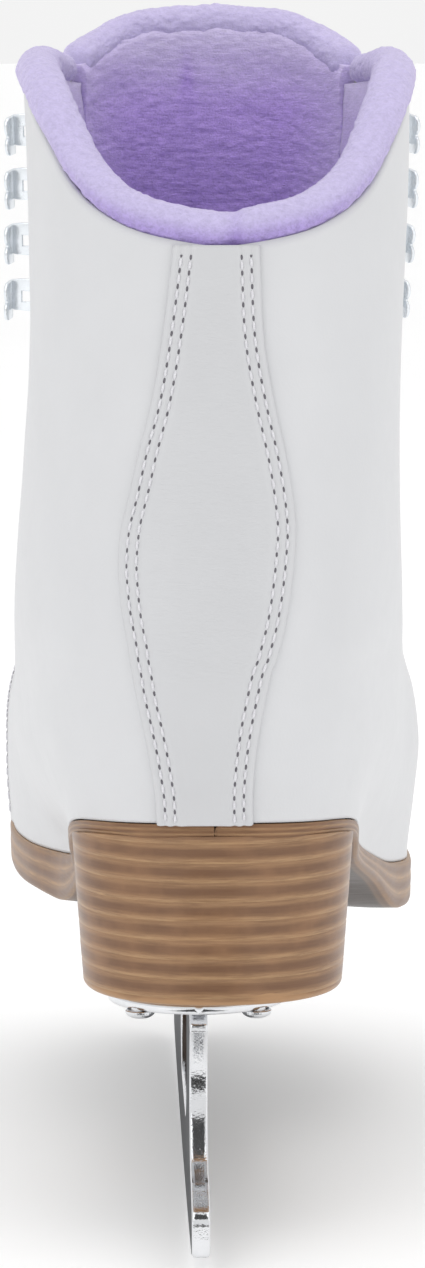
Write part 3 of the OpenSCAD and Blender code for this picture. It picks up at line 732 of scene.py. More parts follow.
def roll_shade(p, turn):
    """Painted shade on a roll: dark under its lower edge where shadow falls, none on top, less higher up and
    none at the tongue's height.
    """
    z = p[..., 2]
    return ease(.55, -.8, np.sin(turn))[None, :] * mix(1, .3, ease(222, 240, z)) * (1 - ease(247, 259, z))


def inside_shade(q):
    """Painted shade in the lining: light along its top and its sides, dark in the middle and further down
    inside the boot.
    """
    high = ease(240, 259, q[..., 2] + 1.6 * noise(q, (9, 9, 5), 45))
    return (1 - high) * (1 - .7 * ease(16, 36, np.abs(q[..., 0] - 3.8)))


def even_along(a, level):
    """Angles respaced so that points lie evenly along the edge, ROLL_STEP apart."""
    p = skin(a, level)
    s = np.concatenate([[0], np.cumsum(np.linalg.norm(np.diff(p, axis=0), axis=1))])
    return np.interp(np.linspace(0, s[-1], int(s[-1] / ROLL_STEP)), s, a)


a = np.linspace(-COLLAR_A, COLLAR_A, 3000)
a = even_along(a, curve(COLLAR, np.abs(a)))
collar_roll = fur_roll("collar_fur_roll", a, curve(COLLAR, np.abs(a)), FUR_IN, 10, 9.2, 3.2, 21, taper=.2,
                       replaces=["collar_roll"])

for side, tag in ((-1, "medial"), (1, "lateral")):
    u = np.linspace(0, 1, 120) ** 1.5
    v = np.linspace(0, 1, 230)[:, None]
    h = v * curve(COLLAR, u * COLLAR_A)[None, :]
    a = side * u[None, :] * front_edge(h)
    p, n = skin(a, h), skin_normal(a, h)
    q = p + n * FUR_IN
    relief = pile(q, 31 + side, LINING_BRUSH, .2) - .25
    inner = q - n * (relief - rounding(edge_distance(p, "last"), .25))[..., None]
    # painted shade of the lining, fading out towards its top edge
    deep = inside_shade(q) * ease(0, 10, edge_distance(p, "high"))
    lining = add("quarter_fur_" + tag, *shell(p + n * FUR_OUT, inner), lining_fur, slot="lavender_fur",
                 replaces=["quarter_lining_" + tag], deep=np.concatenate([deep.ravel()] * 2))
    cut_eyelet_holes(lining, side)

w = np.linspace(-1, 1, 110)
h = np.linspace(0, VAMP_TOP_H, 120)[:, None]
a = 180 + np.sign(w) * np.abs(w) ** 1.35 * (180 - front_edge(h) - .4)
p, n = skin(a, h), skin_normal(a, h)
inner = p + n * (FUR_IN - pile(p, 37, (3, 3, 1.2), .24) + .2)[..., None]
# the vamp's lining, far inside the boot, is all in painted shade
add("vamp_fur", *shell(p + n * FUR_OUT, inner), lining_fur, slot="lavender_fur", replaces=["vamp_lining"],
    deep=np.ones(2 * p.shape[0] * p.shape[1]))


def bending(obj):
    """A tongue piece with its placement baked into its mesh, on no body."""
    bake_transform(obj)


def tongue_places(cols, rows, ends=("first", "last")):
    u = closer(cols, ends, 1 / 40) * 2 - 1
    v = np.linspace(0, 1, rows)[:, None]
    h = mix(TONGUE_BASE_H, curve(TONGUE_TOP, np.abs(u) * TONGUE_TOP_A), v)
    return 180 + u * tongue_half_a(h), h, u


a, h, u = tongue_places(64, 150)
p, n = skin(a, h), skin_normal(a, h)
edge = np.minimum(edge_distance(p, "first"), edge_distance(p, "last"))
wrap = 1 - ease(1.2, 3, edge)
outer = p + n * (.8 * soft_relief(p) - rounding(edge, 1.5) - .12)[..., None]
inner = p + n * (-TONGUE_LEATHER - 2.4 * wrap)[..., None]
bending(add("tongue_front_leather", *shell(outer, inner), leather("tongue_leather", LEATHER_TONE), body=None,
            slot="white_leather", replaces=["tongue_leather"]))

a, h, u = tongue_places(30, 60, ())
a = 180 + (a - 180) * .90
p, n = skin(a, h), skin_normal(a, h)
foam = plain("tongue_foam", (.72, .66, .50), (.86, .80, .64), .9, .95, depth=.3, kind="Voronoi")
bending(add("tongue_padding", *shell(p - n * 1.55, p - n * 4.4), foam, body=None, slot="foam",
            replaces=["tongue_foam"]))

a, h, u = tongue_places(120, 400)
h = h + .0075 * ease(.9, 1, np.linspace(0, 1, 400))[:, None]
a = a + .9 * u
p, n = skin(a, h), skin_normal(a, h)
edge = np.minimum(edge_distance(p, "first"), edge_distance(p, "last"))
q = p + n * mix(FUR_IN, TONGUE_IN, ease(0, 12, edge))[..., None]
below = edge_distance(p, "high")
x, z = q[..., 0], q[..., 2]
fold = (np.exp(-((x + .6 + .02 * (z - 240)) / 1.3) ** 2) * ease(205, 226, z) * (1 - ease(246, 258, z))
        + .8 * np.exp(-((x - 7.2) / 1.1) ** 2) * ease(212, 222, z) * (1 - ease(232, 240, z)))
relief = pile(q, 41, LINING_BRUSH, .2) - .9 * fold - .2 + .8 * ease(0, 2.2, below) * (1 - ease(3, 12, below))
inner = q - n * (relief - rounding(edge, .25))[..., None]
outer = p + n * (-TONGUE_LEATHER - TONGUE_FOAM + .75 * (1 - ease(1.2, 3, edge)))[..., None]
# painted shade of the lining, darker still in the tongue's folds
deep = np.clip(inside_shade(q) + .5 * fold, 0, 1)
bending(add("tongue_fur", *shell(inner, outer), lining_fur, body=None, slot="lavender_fur",
            replaces=["tongue_lining"], deep=np.concatenate([deep.ravel()] * 2)))

a = np.linspace(-TONGUE_TOP_A, TONGUE_TOP_A, 1500)
a = even_along(180 + a, curve(TONGUE_TOP, np.abs(a)))
level = curve(TONGUE_TOP, np.abs(a - 180))
a = 180 + (a - 180) / TONGUE_TOP_A * tongue_half_a(level)
tongue_roll = fur_roll("tongue_fur_roll", a, level, TONGUE_IN, 9, 8.4, 2.8, 51, body="tongue",
                       replaces=["tongue_roll"])

# ---------------------------------------------------------------- inside the boot: footbed and ankle padding
FOOTBED_OFF, FOOTBED_LOW, FOOTBED_HIGH = -8.0, 3.8, 7.2
FOOTBED_EDGE = [(-.35, .10), (0, .35), (0, .7), (-.3, .9), (-1.1, 1.0)]


def across_between(l, r, ts):
    """Places between a point on the left and one on the right."""
    return [(mix(l[0], r[0], t), mix(l[1], r[1], t), t) for t in ts]


sections = []
for ak in np.linspace(3, 177, 150):
    left, right = ([rim(s * ak, FOOTBED_OFF + off) for off, _ in FOOTBED_EDGE] for s in (-1, 1))
    sides = [[(q[0], q[1], sole_line(q[0], q[1]) + mix(FOOTBED_LOW, FOOTBED_HIGH, share))
              for q, (_, share) in zip(points, FOOTBED_EDGE)] for points in (left, right)]
    ring = sides[0]
    for x, y, t in across_between(left[-1], right[-1], np.linspace(0, 1, 34)[1:-1]):
        crown = .25 * np.sin(np.pi * t) + .12 * noise(np.array([x, y, 0.]), (9, 9, 9), 61)
        ring.append((x, y, sole_line(x, y) + FOOTBED_HIGH + crown))
    ring += sides[1][::-1]
    for x, y, t in across_between(left[0], right[0], np.linspace(1, 0, 34)[1:-1]):
        ring.append((x, y, sole_line(x, y) + FOOTBED_LOW + .1 * (FOOTBED_HIGH - FOOTBED_LOW)))
    sections.append(ring)
footbed_cloth = plain("footbed_cloth", (.36, .30, .52), (.52, .45, .70), .6, .9, depth=.18,
                      stretch=(1.6, .7, 1), Sheen_Weight=.4)
add("footbed_pad", *lofted(np.array(sections, float)), footbed_cloth, slot="foam",
              replaces=["footbed"])

pad_foam = plain("ankle_foam", (.70, .64, .46), (.88, .83, .66), .8, .95, depth=.3, kind="Voronoi")
for side, tag in ((-1, "medial"), (1, "lateral")):
    u = np.linspace(0, 1, 46)
    v = np.linspace(0, 1, 46)[:, None]
    h = mix(.38, curve(COLLAR, 14 + 80 * u) - .02, v)
    a = side * mix(14, front_edge(h) - 29.5, u)
    p, n = skin(a, h), skin_normal(a, h)
    edge = np.minimum.reduce([edge_distance(p, s) for s in ("first", "last", "low", "high")])
    puff = .42 * (1 - ease(0, 9, edge))
    outer, inner = p + n * (MIDDLE_OUT - puff)[..., None], p + n * (MIDDLE_IN + puff)[..., None]
    add("ankle_padding_" + tag, *shell(outer, inner), pad_foam, slot="foam",
                  replaces=["ankle_pad_" + tag])

# ---------------------------------------------------------------- heel and sole
heel_low, heel_high = (np.array(c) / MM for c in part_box("heel_block"))
HEEL_BASE, HEEL_BACK = heel_low[2], heel_low[1]
HEEL_X = (heel_low[0] + heel_high[0]) / 2
HEEL_W = (56.8, 60.4)
HEEL_ROUND, HEEL_FRONT, LIFT_T = 28, (-52, -47), 4.15
stack = stacked("stacked_heel", .10, (.40, .23, .115), .22)
sole_edge = stacked("sole_edge", .06, (.07, .05, .04), .05)


def heel_loop(t, n_turn=44):
    """Plan of the heel at a share t of its height, right round."""
    w, front = mix(HEEL_W[0], HEEL_W[1], t) / 2, mix(HEEL_FRONT[0], HEEL_FRONT[1], t)
    turn = np.linspace(0, 90, n_turn)
    x = w * np.sin(np.radians(turn)) ** .85
    y = HEEL_BACK + HEEL_ROUND * (1 - np.cos(np.radians(turn)))
    on = np.linspace(0, 1, 16)[1:]
    x = np.concatenate([x, w + 0 * on])
    y = np.concatenate([y, mix(HEEL_BACK + HEEL_ROUND, front, on)])
    breast = np.linspace(1, -1, 26)[1:-1]
    loop_x = np.concatenate([x, breast * w, -x[:0:-1]])
    loop_y = np.concatenate([y, front - 3 * (1 - breast**2), y[:0:-1]])
    return np.stack([HEEL_X + loop_x, loop_y], -1)


def pushed(loop, off):
    """A closed plan outline moved outwards by off."""
    way = unit(np.roll(loop, -1, 0) - np.roll(loop, 1, 0))
    out = np.stack([way[:, 1], -way[:, 0]], -1)
    return loop + out * off


HEEL_T = 33.0
HEEL_EDGE_R = 1.6
levels = np.unique(np.round(np.concatenate([np.linspace(0, 3, 19), np.linspace(3, 46, 150)]), 3))
rings, level_value, edge_value = [], [], []
for z in levels:
    loop = heel_loop(min(1, z / HEEL_T))
    groove = -.10 * np.exp(-((((z / LIFT_T + .09) % 1) - .5) * LIFT_T / .22) ** 2)
    foot = -.8 * rounding(z, HEEL_EDGE_R)
    ring = pushed(loop, mix(-.35, .25, min(1, z / HEEL_T)) + groove + foot)
    top = sole_under(ring[:, 1]) + .5
    zz = np.minimum(HEEL_BASE + z, top)
    wave = .05 * noise(np.column_stack([ring, zz]), (9, 9, 3), 71)
    ring = ring + wave[:, None] * unit(ring - ring.mean(0))
    at = np.column_stack([ring, zz])
    rings.append(at)
    level_value.append((zz - HEEL_BASE) / LIFT_T + .59)
    chip = (np.exp(-(((ring[:, 0] - 15.5) / 4.6) ** 4)) * (ring[:, 1] < -85)
            * (z < 2.6 + .5 * noise(at, 3, 72)))
    # lighter along the heel's bottom rim, up to about 2 mm from its base
    rim_tone = 1 - ease(.7, 1.9, z + .5 * noise(at, (5, 5, 5), 73))
    edge_value.append(np.maximum(rim_tone, chip))
rings = np.array(rings)


def capped(rings):
    """A stack of loops with flat ends that have a ring of their own inside the rim."""
    ends = []
    for ring in (rings[0], rings[-1]):
        inside = mix(ring.mean(0), ring, .93)
        inside[:, 2] = ring[:, 2]
        ends.append(inside)
    return np.concatenate([ends[0][None], rings, ends[1][None]])


full = capped(rings)
level_value = np.concatenate([level_value[:1], level_value, level_value[-1:]])
edge_value = np.concatenate([[np.ones(full.shape[1])], edge_value, edge_value[-1:]])
add("stacked_leather_heel", *lofted(full), stack, slot="stacked_heel", replaces=["heel_block"],
    level=level_value, edge=edge_value)

# Sole: cross-sections from heel to toe, each right round the edge, then across the bottom and the top
a = np.unique(np.concatenate([12 * np.linspace(.04, 1, 30) ** 2, np.linspace(12, 166, 150),
                              180 - 14 * np.linspace(.04, 1, 30) ** 2]))
EDGE = [(-1.6, 1.0), (-.5, 1.0), (-.05, .97), (.16, .88), (.10, .74), (-.06, .69), (.08, .64), (.12, .5),
        (.06, .40), (-.08, .36), (.05, .31), (.02, .2), (-.02, .1), (-.25, .03), (-.9, 0)]
WELT, WELT_AT_HEEL = .75, -.1
SOLE_TOP_GAP, N_ACROSS = .2, 24


def sole_side(s, ak):
    """Points up the sole's edge on side s, at angle ak."""
    points = []
    for off, share in EDGE:
        q = rim(s * ak, mix(WELT_AT_HEEL, WELT, ease(45, 75, ak)) + off)
        top, low = sole_line(q[0], q[1]) - SOLE_TOP_GAP, sole_under(q[1]) + ball_lift(q[0], q[1])
        points.append((q[0], q[1], mix(low, top, share)))
    return points


sections = []
on = np.linspace(0, 1, N_ACROSS + 2)[1:-1]
back = np.linspace(1, 0, N_ACROSS + 2)[1:-1]
for ak in a:
    left, right = sole_side(-1, ak), sole_side(1, ak)
    under = [(x, y, sole_under(y) + ball_lift(x, y)) for x, y, _ in across_between(left[-1], right[-1], on)]
    over = [(x, y, sole_line(x, y) - SOLE_TOP_GAP) for x, y, _ in across_between(left[0], right[0], back)]
    sections.append(left + under + right[::-1] + over)
shares = [share for _, share in EDGE]
level_value = np.tile(shares + [.5] * N_ACROSS + shares[::-1] + [1] * N_ACROSS, (len(a), 1)) * 2.9 + .15
# the bottom takes the near-black edge tone: partly the sole's dark bottom finish, partly painted shade under
# the boot
edge_value = np.tile([0] * len(EDGE) + [1] * N_ACROSS + [0] * len(EDGE) + [.2] * N_ACROSS, (len(a), 1))
add("leather_sole", *lofted(np.array(sections, float)), sole_edge, slot="sole_brown", replaces=["outsole"],
    level=level_value, edge=edge_value)

# ---------------------------------------------------------------- the blade
RUNNER_T, RUNNER_H, ROCKER_R = 3.9, 13, 2440
TAIL_Y, PICK_Y, PICK_TEETH, PICK_R, PICK_C = -125, 116, 5, 16, (117, 18.5)


def rocker(y):
    return y * y / (2 * ROCKER_R)


def arc_points(c, r, a0, a1, n):
    return [(c[0] + r * math.cos(t), c[1] + r * math.sin(t)) for t in np.radians(np.linspace(a0, a1, n))]


def blade_outline():
    pts = [(y, rocker(y)) for y in np.linspace(TAIL_Y + 1.2, PICK_Y, 60)]
    for k in range(PICK_TEETH):
        t = math.radians(mix(-66, 6, k / (PICK_TEETH - 1)))
        for r, k in ((PICK_R, t), (PICK_R - 3, t + math.radians(5))):
            pts.append((PICK_C[0] + r * math.cos(k), PICK_C[1] + r * math.sin(k)))
    pts += [(129.5, 26), (122, 32), (114, 38), (110, 46)]
    rows = [y for y in np.linspace(*SOLE_PLATE_Y, 19) if 30 < y < 108]
    pts += [(y, sole_under(y) - PLATE_T) for y in rows[::-1]]
    pts += arc_points((-2, 32 + RUNNER_H / 4), 22 - RUNNER_H / 4, 18, -90, 29)
    pts += arc_points((-44, 32 + RUNNER_H / 4), 22 - RUNNER_H / 4, -90, -188, 27)
    pts += [(-62, HEEL_BASE - PLATE_T), (-97, HEEL_BASE - PLATE_T)]
    pts += arc_points((-117.5, 34.5), 20, 40, -50, 41)
    pts += [(-108, RUNNER_H + 4.4), (-112, 17), (-115.5, 16.6), (-117, 15.8), (-119, 14.9),
            (-121.5, 13.9), (-123.4, 13.1), (-124.5, 12.3), (TAIL_Y, 11.3), (TAIL_Y, 10), (TAIL_Y, 7.5),
            (TAIL_Y, 5), (TAIL_Y + .35, 4.1)]
    return np.array(pts, float)


def add_blade():
    line = blade_outline()
    way = unit(np.roll(line, -1, 0) - np.roll(line, 1, 0))
    inwards = np.stack([-way[:, 1], way[:, 0]], -1)
    n = len(line)
    edge = (line[:, 1] < rocker(line[:, 0]) + .01)
    across = np.array([-1, -.93, -.8, -.5, 0, .5, .8, .93, 1])
    inset = np.array([.36, .09, 0, 0, 0, 0, 0, .09, .36])
    verts = []
    for u, d in zip(across, inset):
        pt = line + inwards * np.where(edge, 0, d)[:, None]
        tail_corner = 1.2 * abs(u) ** 6 * (1 - ease(0, 3, line[:, 0] - TAIL_Y))
        pt[:, 1] += np.where(edge, .16 * (1 - u * u) + tail_corner, 0)
        verts.append(np.column_stack([np.full(n, u * RUNNER_T / 2), pt]))
    verts = np.array(verts)
    m = len(across)
    faces = [list(map(int, f)) for f in quads(m, n, wrap=True)]
    faces += [list(range(n)), list(range((m - 1) * n, m * n))]
    return verts.reshape(-1, 3), faces


chrome = metal("blade_chrome", (.80, .81, .83), .12, dent=.05, dent_size=.55, haze=.08)
blade_satin = metal("blade_satin", (.25, .255, .26), .42, dent=.03, dent_size=1.2, brushed=(1, .4, 4),
                    Specular_Tint=(.25, .25, .26, 1))
plate_chrome = metal("plate_chrome", (.80, .81, .83), .16, dent=.03, dent_size=3)
blade = add("skate_blade", *add_blade(), chrome, slot="chrome", replaces=["blade"], smooth=False)
blade.data.polygons.foreach_set("use_smooth", [len(p.vertices) == 4 for p in blade.data.polygons])
blade.data.materials.append(blade_satin)
blade.data.polygons.foreach_set("material_index", [int(len(p.vertices) > 4) for p in blade.data.polygons])


def plate(ends, widths, low, high):
    """Sole or heel plate: rounded in plan, with its lower edge rounded over."""
    r0, r1 = widths[0] / 2, widths[1] / 2
    swing = 1 - np.cos(np.linspace(0, np.pi / 2, 18))
    middle = np.linspace(ends[0] + r0, ends[1] - r1, 24)
    ys = np.concatenate([ends[0] + r0 * swing, middle, ends[1] - r1 * swing])
    ys = np.unique(np.clip(ys, ends[0] + .03, ends[1] - .03))

    def half(y, inset):
        back = np.sqrt(np.maximum(0, (r0 - inset) ** 2 - (ends[0] + r0 - y) ** 2))
        back = np.where(y < ends[0] + r0, back, 1e9)
        front = np.sqrt(np.maximum(0, (r1 - inset) ** 2 - (y - ends[1] + r1) ** 2))
        front = np.where(y > ends[1] - r1, front, 1e9)
        side = mix(r0, r1, np.clip((y - ends[0] - r0) / max(1e-6, ends[1] - r1 - ends[0] - r0), 0, 1)) - inset
        return np.minimum(np.minimum(back, front), side)

    steps = [(0, 1.), (0, .30), (.12, .14), (.4, .03), (.8, 0)]
    rows = []
    for y in ys:
        top, bottom = high(y), low(y)
        w = [max(.02, float(half(y, i))) for i, _ in steps]
        z = [mix(bottom, top, s) for _, s in steps]
        left = [(-wi, y, zi) for wi, zi in zip(w, z)]
        right = [(wi, y, zi) for wi, zi in zip(w, z)]
        under = [(x, y, bottom) for x in np.linspace(-w[-1], w[-1], 12)[1:-1]]
        over = [(x, y, top) for x in np.linspace(w[0], -w[0], 12)[1:-1]]
        rows.append(left + under + right[::-1] + over)
    return lofted(np.array(rows, float))


def sole_height(y):
    return float(sole_under(y))


add("heel_mounting_plate",
    *plate(HEEL_PLATE_Y, (39, 39), lambda y: HEEL_BASE - PLATE_T, lambda y: HEEL_BASE - .02),
    plate_chrome, slot="chrome", replaces=["heel_plate"])
add("sole_mounting_plate",
    *plate(SOLE_PLATE_Y, (38, 42), lambda y: sole_height(y) - PLATE_T, lambda y: sole_height(y) - .15),
    plate_chrome, slot="chrome", replaces=["sole_plate"])

# Brazed fillets between the stanchions and their plates
parts = []
heel_ys, sole_ys = np.linspace(-96.5, -63, 46), np.linspace(33, 105, 70)
for ys, seat in ((heel_ys, HEEL_BASE - PLATE_T + 0 * heel_ys), (sole_ys, sole_under(sole_ys) - PLATE_T)):
    for s in (-1, 1):
        c = np.stack([np.full(ys.shape, s * (RUNNER_T / 2 + .35)), ys, seat - .35], -1)
        lump = 1 + .22 * noise(c, (3, 2.4, 3), 81)
        t = np.arange(14) * 2 * np.pi / 14
        r = 1.25 * lump * np.sqrt(np.maximum(.02, 1 - np.linspace(-1, 1, len(ys)) ** 8))
        ring = np.stack([np.cos(t), 0 * t, np.sin(t)], -1)
        parts.append(lofted(c[:, None] + ring[None] * r[:, None, None]))
add("brazed_fillets", *joined(parts), plate_chrome, slot="chrome")


def lathe(profile, segments=32):
    """Closed solid of revolution about z, from a profile that starts and ends on the axis."""
    turn = np.arange(segments) * 2 * np.pi / segments
    rings = [[(r * math.cos(t), r * math.sin(t), z) for t in turn] for r, z in profile]
    return lofted(np.array(rings, float))


def screw_head():
    """Pan head with a cross recess, its seat at z = 0 and its crown pointing down."""
    r = 3.2
    prof = [(.01, .6), (1.9, .6), (1.95, 0), (r - .15, 0), (r, -.18), (r, -.45)]
    prof += [(r * math.cos(t), -.45 - 1.5 * math.sin(t)) for t in np.radians(np.linspace(8, 86, 12))]
    prof.append((.01, -1.96))
    head = add("screw_head", *lathe(prof, 36), plate_chrome, body=None)
    slot_size = Matrix.Diagonal((3.3 * MM, .75 * MM, 2.2 * MM, 1))
    bm = bmesh.new()
    for k in (0, 1):
        turn = Matrix.Rotation(k * math.pi / 2, 4, "Z")
        bmesh.ops.create_cube(bm, size=1, matrix=Matrix.Translation((0, 0, -2.0 * MM)) @ turn @ slot_size)
    subtract(head, bm, "cross", use_self=True)
    v = np.array([p.co for p in head.data.vertices]) / MM
    f = [list(p.vertices) for p in head.data.polygons]
    bpy.data.objects.remove(head)
    return v, f


head_v, head_f = screw_head()


def placed(v, f, at, turn=0., tilt=None):
    c, s = math.cos(turn), math.sin(turn)
    q = np.stack([v[:, 0] * c - v[:, 1] * s, v[:, 0] * s + v[:, 1] * c, v[:, 2]], -1)
    if tilt is not None:
        q = q @ np.asarray(tilt).T
    return q + at, f


screw_steel = metal("screw_steel", (.74, .75, .77), .24, dent=.02, dent_size=2)
turns = [.3, 1.0, .62, .1, 1.3, .45]
heel_heads = [placed(head_v, head_f, (x, y, HEEL_BASE - PLATE_T), t) for (x, y), t in zip(HEEL_SCREWS, turns)]
add("heel_screws", *joined(heel_heads), screw_steel, slot="screw_steel", replaces=["heel_plate_screws"],
    smooth=False)
sole_heads = []
for (x, y), t in zip(SOLE_SCREWS, turns):
    slope = (sole_under(y + 1) - sole_under(y - 1)) / 2
    k = math.atan(float(slope))
    tilt = [[1, 0, 0], [0, math.cos(k), -math.sin(k)], [0, math.sin(k), math.cos(k)]]
    sole_heads.append(placed(head_v, head_f, (x, y, sole_height(y) - PLATE_T), t, tilt))
add("sole_screws", *joined(sole_heads), screw_steel, slot="screw_steel", replaces=["sole_plate_screws"],
    smooth=False)


# ---------------------------------------------------------------- hooks and eyelets
def facing_frame(side, h, inset):
    """Origin and axes on one facing: across, up the facing, and outwards."""
    a = side * (front_edge(h) - inset)
    n = skin_normal(a, h)
    across = unit(np.cross(skin(a, h + .01) - skin(a, h - .01), n))
    return skin(a, h), np.stack([across, np.cross(n, across), n], 0)


def stamped(outlines, thick, soft):
    """Sheet-metal plate with rounded edges. The first outline is its rim, the others are holes."""
    c = bpy.data.curves.new("stamp", "CURVE")
    c.dimensions, c.fill_mode = "2D", "BOTH"
    c.extrude, c.bevel_depth, c.bevel_resolution, c.offset = (thick / 2 - soft) * MM, soft * MM, 2, -soft * MM
    for pts in outlines:
        s = c.splines.new("POLY")
        s.points.add(len(pts) - 1)
        for p, (x, y) in zip(s.points, pts):
            p.co = (x * MM, y * MM, 0, 1)
        s.use_cyclic_u = True
    o = linked("stamp", c)
    dg = bpy.context.evaluated_depsgraph_get()
    mesh = bpy.data.meshes.new_from_object(o.evaluated_get(dg), depsgraph=dg)
    bm = bmesh.new()
    bm.from_mesh(mesh)
    bmesh.ops.remove_doubles(bm, verts=bm.verts, dist=.004 * MM)
    bmesh.ops.dissolve_degenerate(bm, edges=bm.edges, dist=.002 * MM)
    bm.to_mesh(mesh)
    bm.free()
    v = np.array([p.co for p in mesh.vertices]) / MM
    f = [list(p.vertices) for p in mesh.polygons]
    bpy.data.objects.remove(o)
    bpy.data.meshes.remove(mesh)
    return v, f


def hook_parts():
    """One lace hook in its own frame: x across, y up, z outwards, in millimetres."""
    head = (arc_points((.35, 2.05), 2.25, 90, -62, 14) + arc_points((.35, -2.25), 2.25, 62, -90, 14)
            + [(-2.4, -4.5), (-2.6, -4.2), (-2.6, 4.0), (-2.4, 4.3)])
    foot = ([(-2.6, 3.6), (-2, 4.4), (2.4, 4.4)] + arc_points((1.7, 2.9), 1.4, 60, 0, 5)
            + [(3.1, -.8), (1.5, -6.4)] + arc_points((-.3, -6.2), 1.5, -20, -160, 8) + [(-2.6, -3)])
    stem = [(4.3, .5), (4.85, 2.4), (4.75, 5.9), (4.5, 8.05), (-1.9, 8.05), (-2.5, 7.35), (-2.75, 3.4),
            (-4.7, 1.6), (-7, .5)]
    window = [(-.5, 3.1), (-.5, 5.5), (1.9, 5.5), (1.9, 3.1)]
    out = []
    v, f = stamped([head], 1.05, .38)
    out.append((v + [0, 0, 8.2], f))
    v, f = stamped([foot], .8, .25)
    out.append((v + [0, 0, .72], f))
    v, f = stamped([stem, window], .95, .3)
    out.append((np.stack([v[:, 2] - 2.15, v[:, 0], v[:, 1]], -1), f))
    rivet = [(.01, .9), (1.5, .95), (1.75, 1.15), (1.6, 1.55), (.9, 1.85), (.01, 1.9)]
    out.append(placed(*lathe(rivet, 20), (.2, -.2, 0)))
    return out


nickel = metal("hook_nickel", (.84, .875, .91), .25, dent=.03, dent_size=2.5, haze=.14)
hook = joined(hook_parts())
eyelet_profile = [(2.2, -.5), (2.2, .35), (2.45, .78), (2.9, .92), (3.5, .86), (4.0, .6), (4.28, .22),
                  (4.3, .06), (2.7, .04), (2.7, FUR_IN - .1), (3.3, FUR_IN - .12), (3.35, FUR_IN - .55),
                  (2.5, FUR_IN - .62), (2.2, FUR_IN - .4)]


def ring_lathe(profile, segments=36):
    """Closed solid of revolution about z, from a profile that is a loop of its own."""
    turn = np.arange(segments) * 2 * np.pi / segments
    rings = np.array([[(r * math.cos(t), r * math.sin(t), z) for t in turn] for r, z in profile])
    n = len(profile)
    return rings.reshape(-1, 3), [[int((f0 // segments) % n * segments + f0 % segments) for f0 in q]
                                  for q in quads(n + 1, segments, wrap=True)]


eyelet = ring_lathe(eyelet_profile)
for side, tag in ((-1, "medial"), (1, "lateral")):
    hooks, eyes = [], []
    for h in HOOK_H:
        at, axes = facing_frame(side, h, HOOK_INSET[side][0] + HOOK_INSET[side][1] * (HOOK_H[0] - h))
        v = hook[0] * [1 if side < 0 else -1, 1, 1]
        hooks.append((v @ axes + at, hook[1]))
    for h in EYELET_H:
        at, axes = facing_frame(side, h, EYELET_INSET_A)
        eyes.append((eyelet[0] @ axes + at, eyelet[1]))
    made = add("lace_hooks_" + tag, *joined(hooks), nickel, slot="nickel",
               replaces=["hooks_" + tag, "hook_rivets_" + tag])
    made.data.set_sharp_from_angle(angle=math.radians(38))
    add("lace_eyelets_" + tag, *joined(eyes), nickel, slot="nickel", replaces=["eyelets_" + tag])

# ---------------------------------------------------------------- finishes of the CAD nodes that stay
KEPT = {
    "shank": metal("spring_steel", (.42, .44, .47), .38, dent=.03, dent_size=4, brushed=(.2, 5, 1)),
    "bottom_filler": plain("cork", (.22, .12, .055), (.52, .33, .17), 1.4, .9, depth=.35, kind="Voronoi"),
    "insole_board": plain("fibreboard", (.36, .26, .15), (.56, .44, .29), .7, .85, depth=.15,
                          stretch=(1, 3, 1)),
    "heel_counter": plain("counter_board", (.40, .30, .19), (.60, .48, .33), .8, .8, depth=.12,
                          stretch=(2, 2, 1)),
    "toe_puff": plain("puff_fabric", (.44, .35, .24), (.63, .53, .38), .6, .82, depth=.12, stretch=(1, 1, 2)),
}
for tag in ("medial", "lateral"):
    KEPT["facing_stay_" + tag] = plain("stay_fabric_" + tag, (.55, .55, .56), (.78, .78, .79), .5, .85,
                                       depth=.12, stretch=(1, 1, 2))
for node, finish in KEPT.items():
    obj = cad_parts[node]
    obj.data.materials.clear()
    obj.data.materials.append(finish)

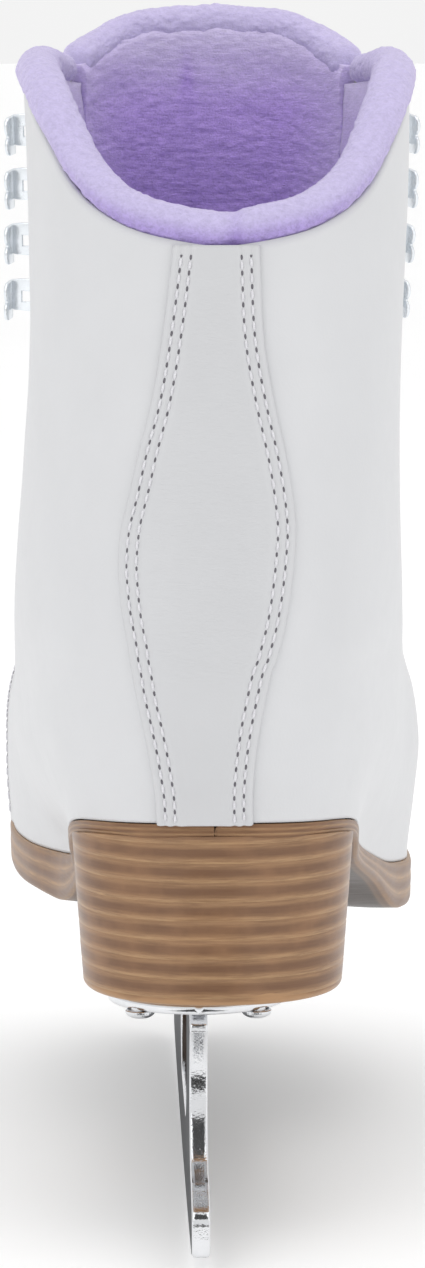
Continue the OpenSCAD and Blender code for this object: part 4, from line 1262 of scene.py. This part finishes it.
# ---------------------------------------------------------------- floor, light and camera
floor_mesh = bpy.data.meshes.new("floor")
floor_mesh.from_pydata([(-400, -400, 0), (400, -400, 0), (400, 400, 0), (-400, 400, 0)], [], [(0, 1, 2, 3)])
floor = linked("floor", floor_mesh)
m, nt, bsdf, where = material("floor", rough=.7, Specular_IOR_Level=.2, Emission_Color=(1, 1, 1, 1),
                              Emission_Strength=.14)
wire(nt, bsdf, Base_Color=ramp(nt, grain(nt, where, 400, 2), (.3, .93), (.7, .95)))
floor.data.materials.append(m)
floor.location.z = float(cad_bounds[0][2]) - .0002

world = bpy.data.worlds.new("studio")
bpy.context.scene.world = world
world.use_nodes = True
world.node_tree.nodes["Background"].inputs[0].default_value = (1, 1, 1, 1)
world.node_tree.nodes["Background"].inputs[1].default_value = .90


def softbox(name, at, aim, size, power):
    light = bpy.data.lights.new(name, "AREA")
    light.shape, light.size, light.size_y, light.energy = "RECTANGLE", size[0], size[1], power
    o = linked(name, light)
    o.location = at
    o.rotation_euler = (Vector(aim) - Vector(at)).to_track_quat("-Z", "Y").to_euler()


softbox("key", (-.9, -1.2, 1.3), (0, 0, .12), (1.2, 1.2), 3.2)
softbox("fill", (1.3, -1.0, .8), (0, 0, .12), (1.2, 1.2), 1.6)
softbox("top", (0, -.1, 1.5), (0, 0, .2), (1.4, 1.4), 3.5)


def card(name, corners, shade):
    """Dark card that shows only in the reflections of the metal."""
    mesh = bpy.data.meshes.new(name)
    mesh.from_pydata(corners, [], [(0, 1, 2, 3)])
    o = linked(name, mesh)
    m, nt, bsdf, where = material(name, rough=.9)
    wire(nt, bsdf, Base_Color=ramp(nt, grain(nt, where, 300, 2), (.3, shade), (.7, shade * 1.2)))
    o.data.materials.append(m)
    o.visible_camera = o.visible_diffuse = o.visible_shadow = o.visible_transmission = False


card("floor_card", [(-.07, -.50, .001), (.07, -.50, .001), (.07, -.175, .001), (-.07, -.175, .001)], .006)
card("raised_card", [(-.05, -.30, .13), (.05, -.30, .13), (.05, -.15, .46), (-.05, -.15, .46)], .05)

CAMERA_AT = (-.0202, -1.1052, .2530)
CAMERA_LENS, CAMERA_DOWN, CAMERA_TURN = 135.7, 6.84, -1.32
camera = bpy.data.cameras.new("camera")
camera.lens = CAMERA_LENS
camera.clip_end = 2000
view = linked("camera", camera)
view.location = CAMERA_AT
view.rotation_euler = (math.radians(90 - CAMERA_DOWN), 0, math.radians(CAMERA_TURN))
bpy.context.scene.camera = view
bpy.context.scene.view_settings.view_transform = "Standard"
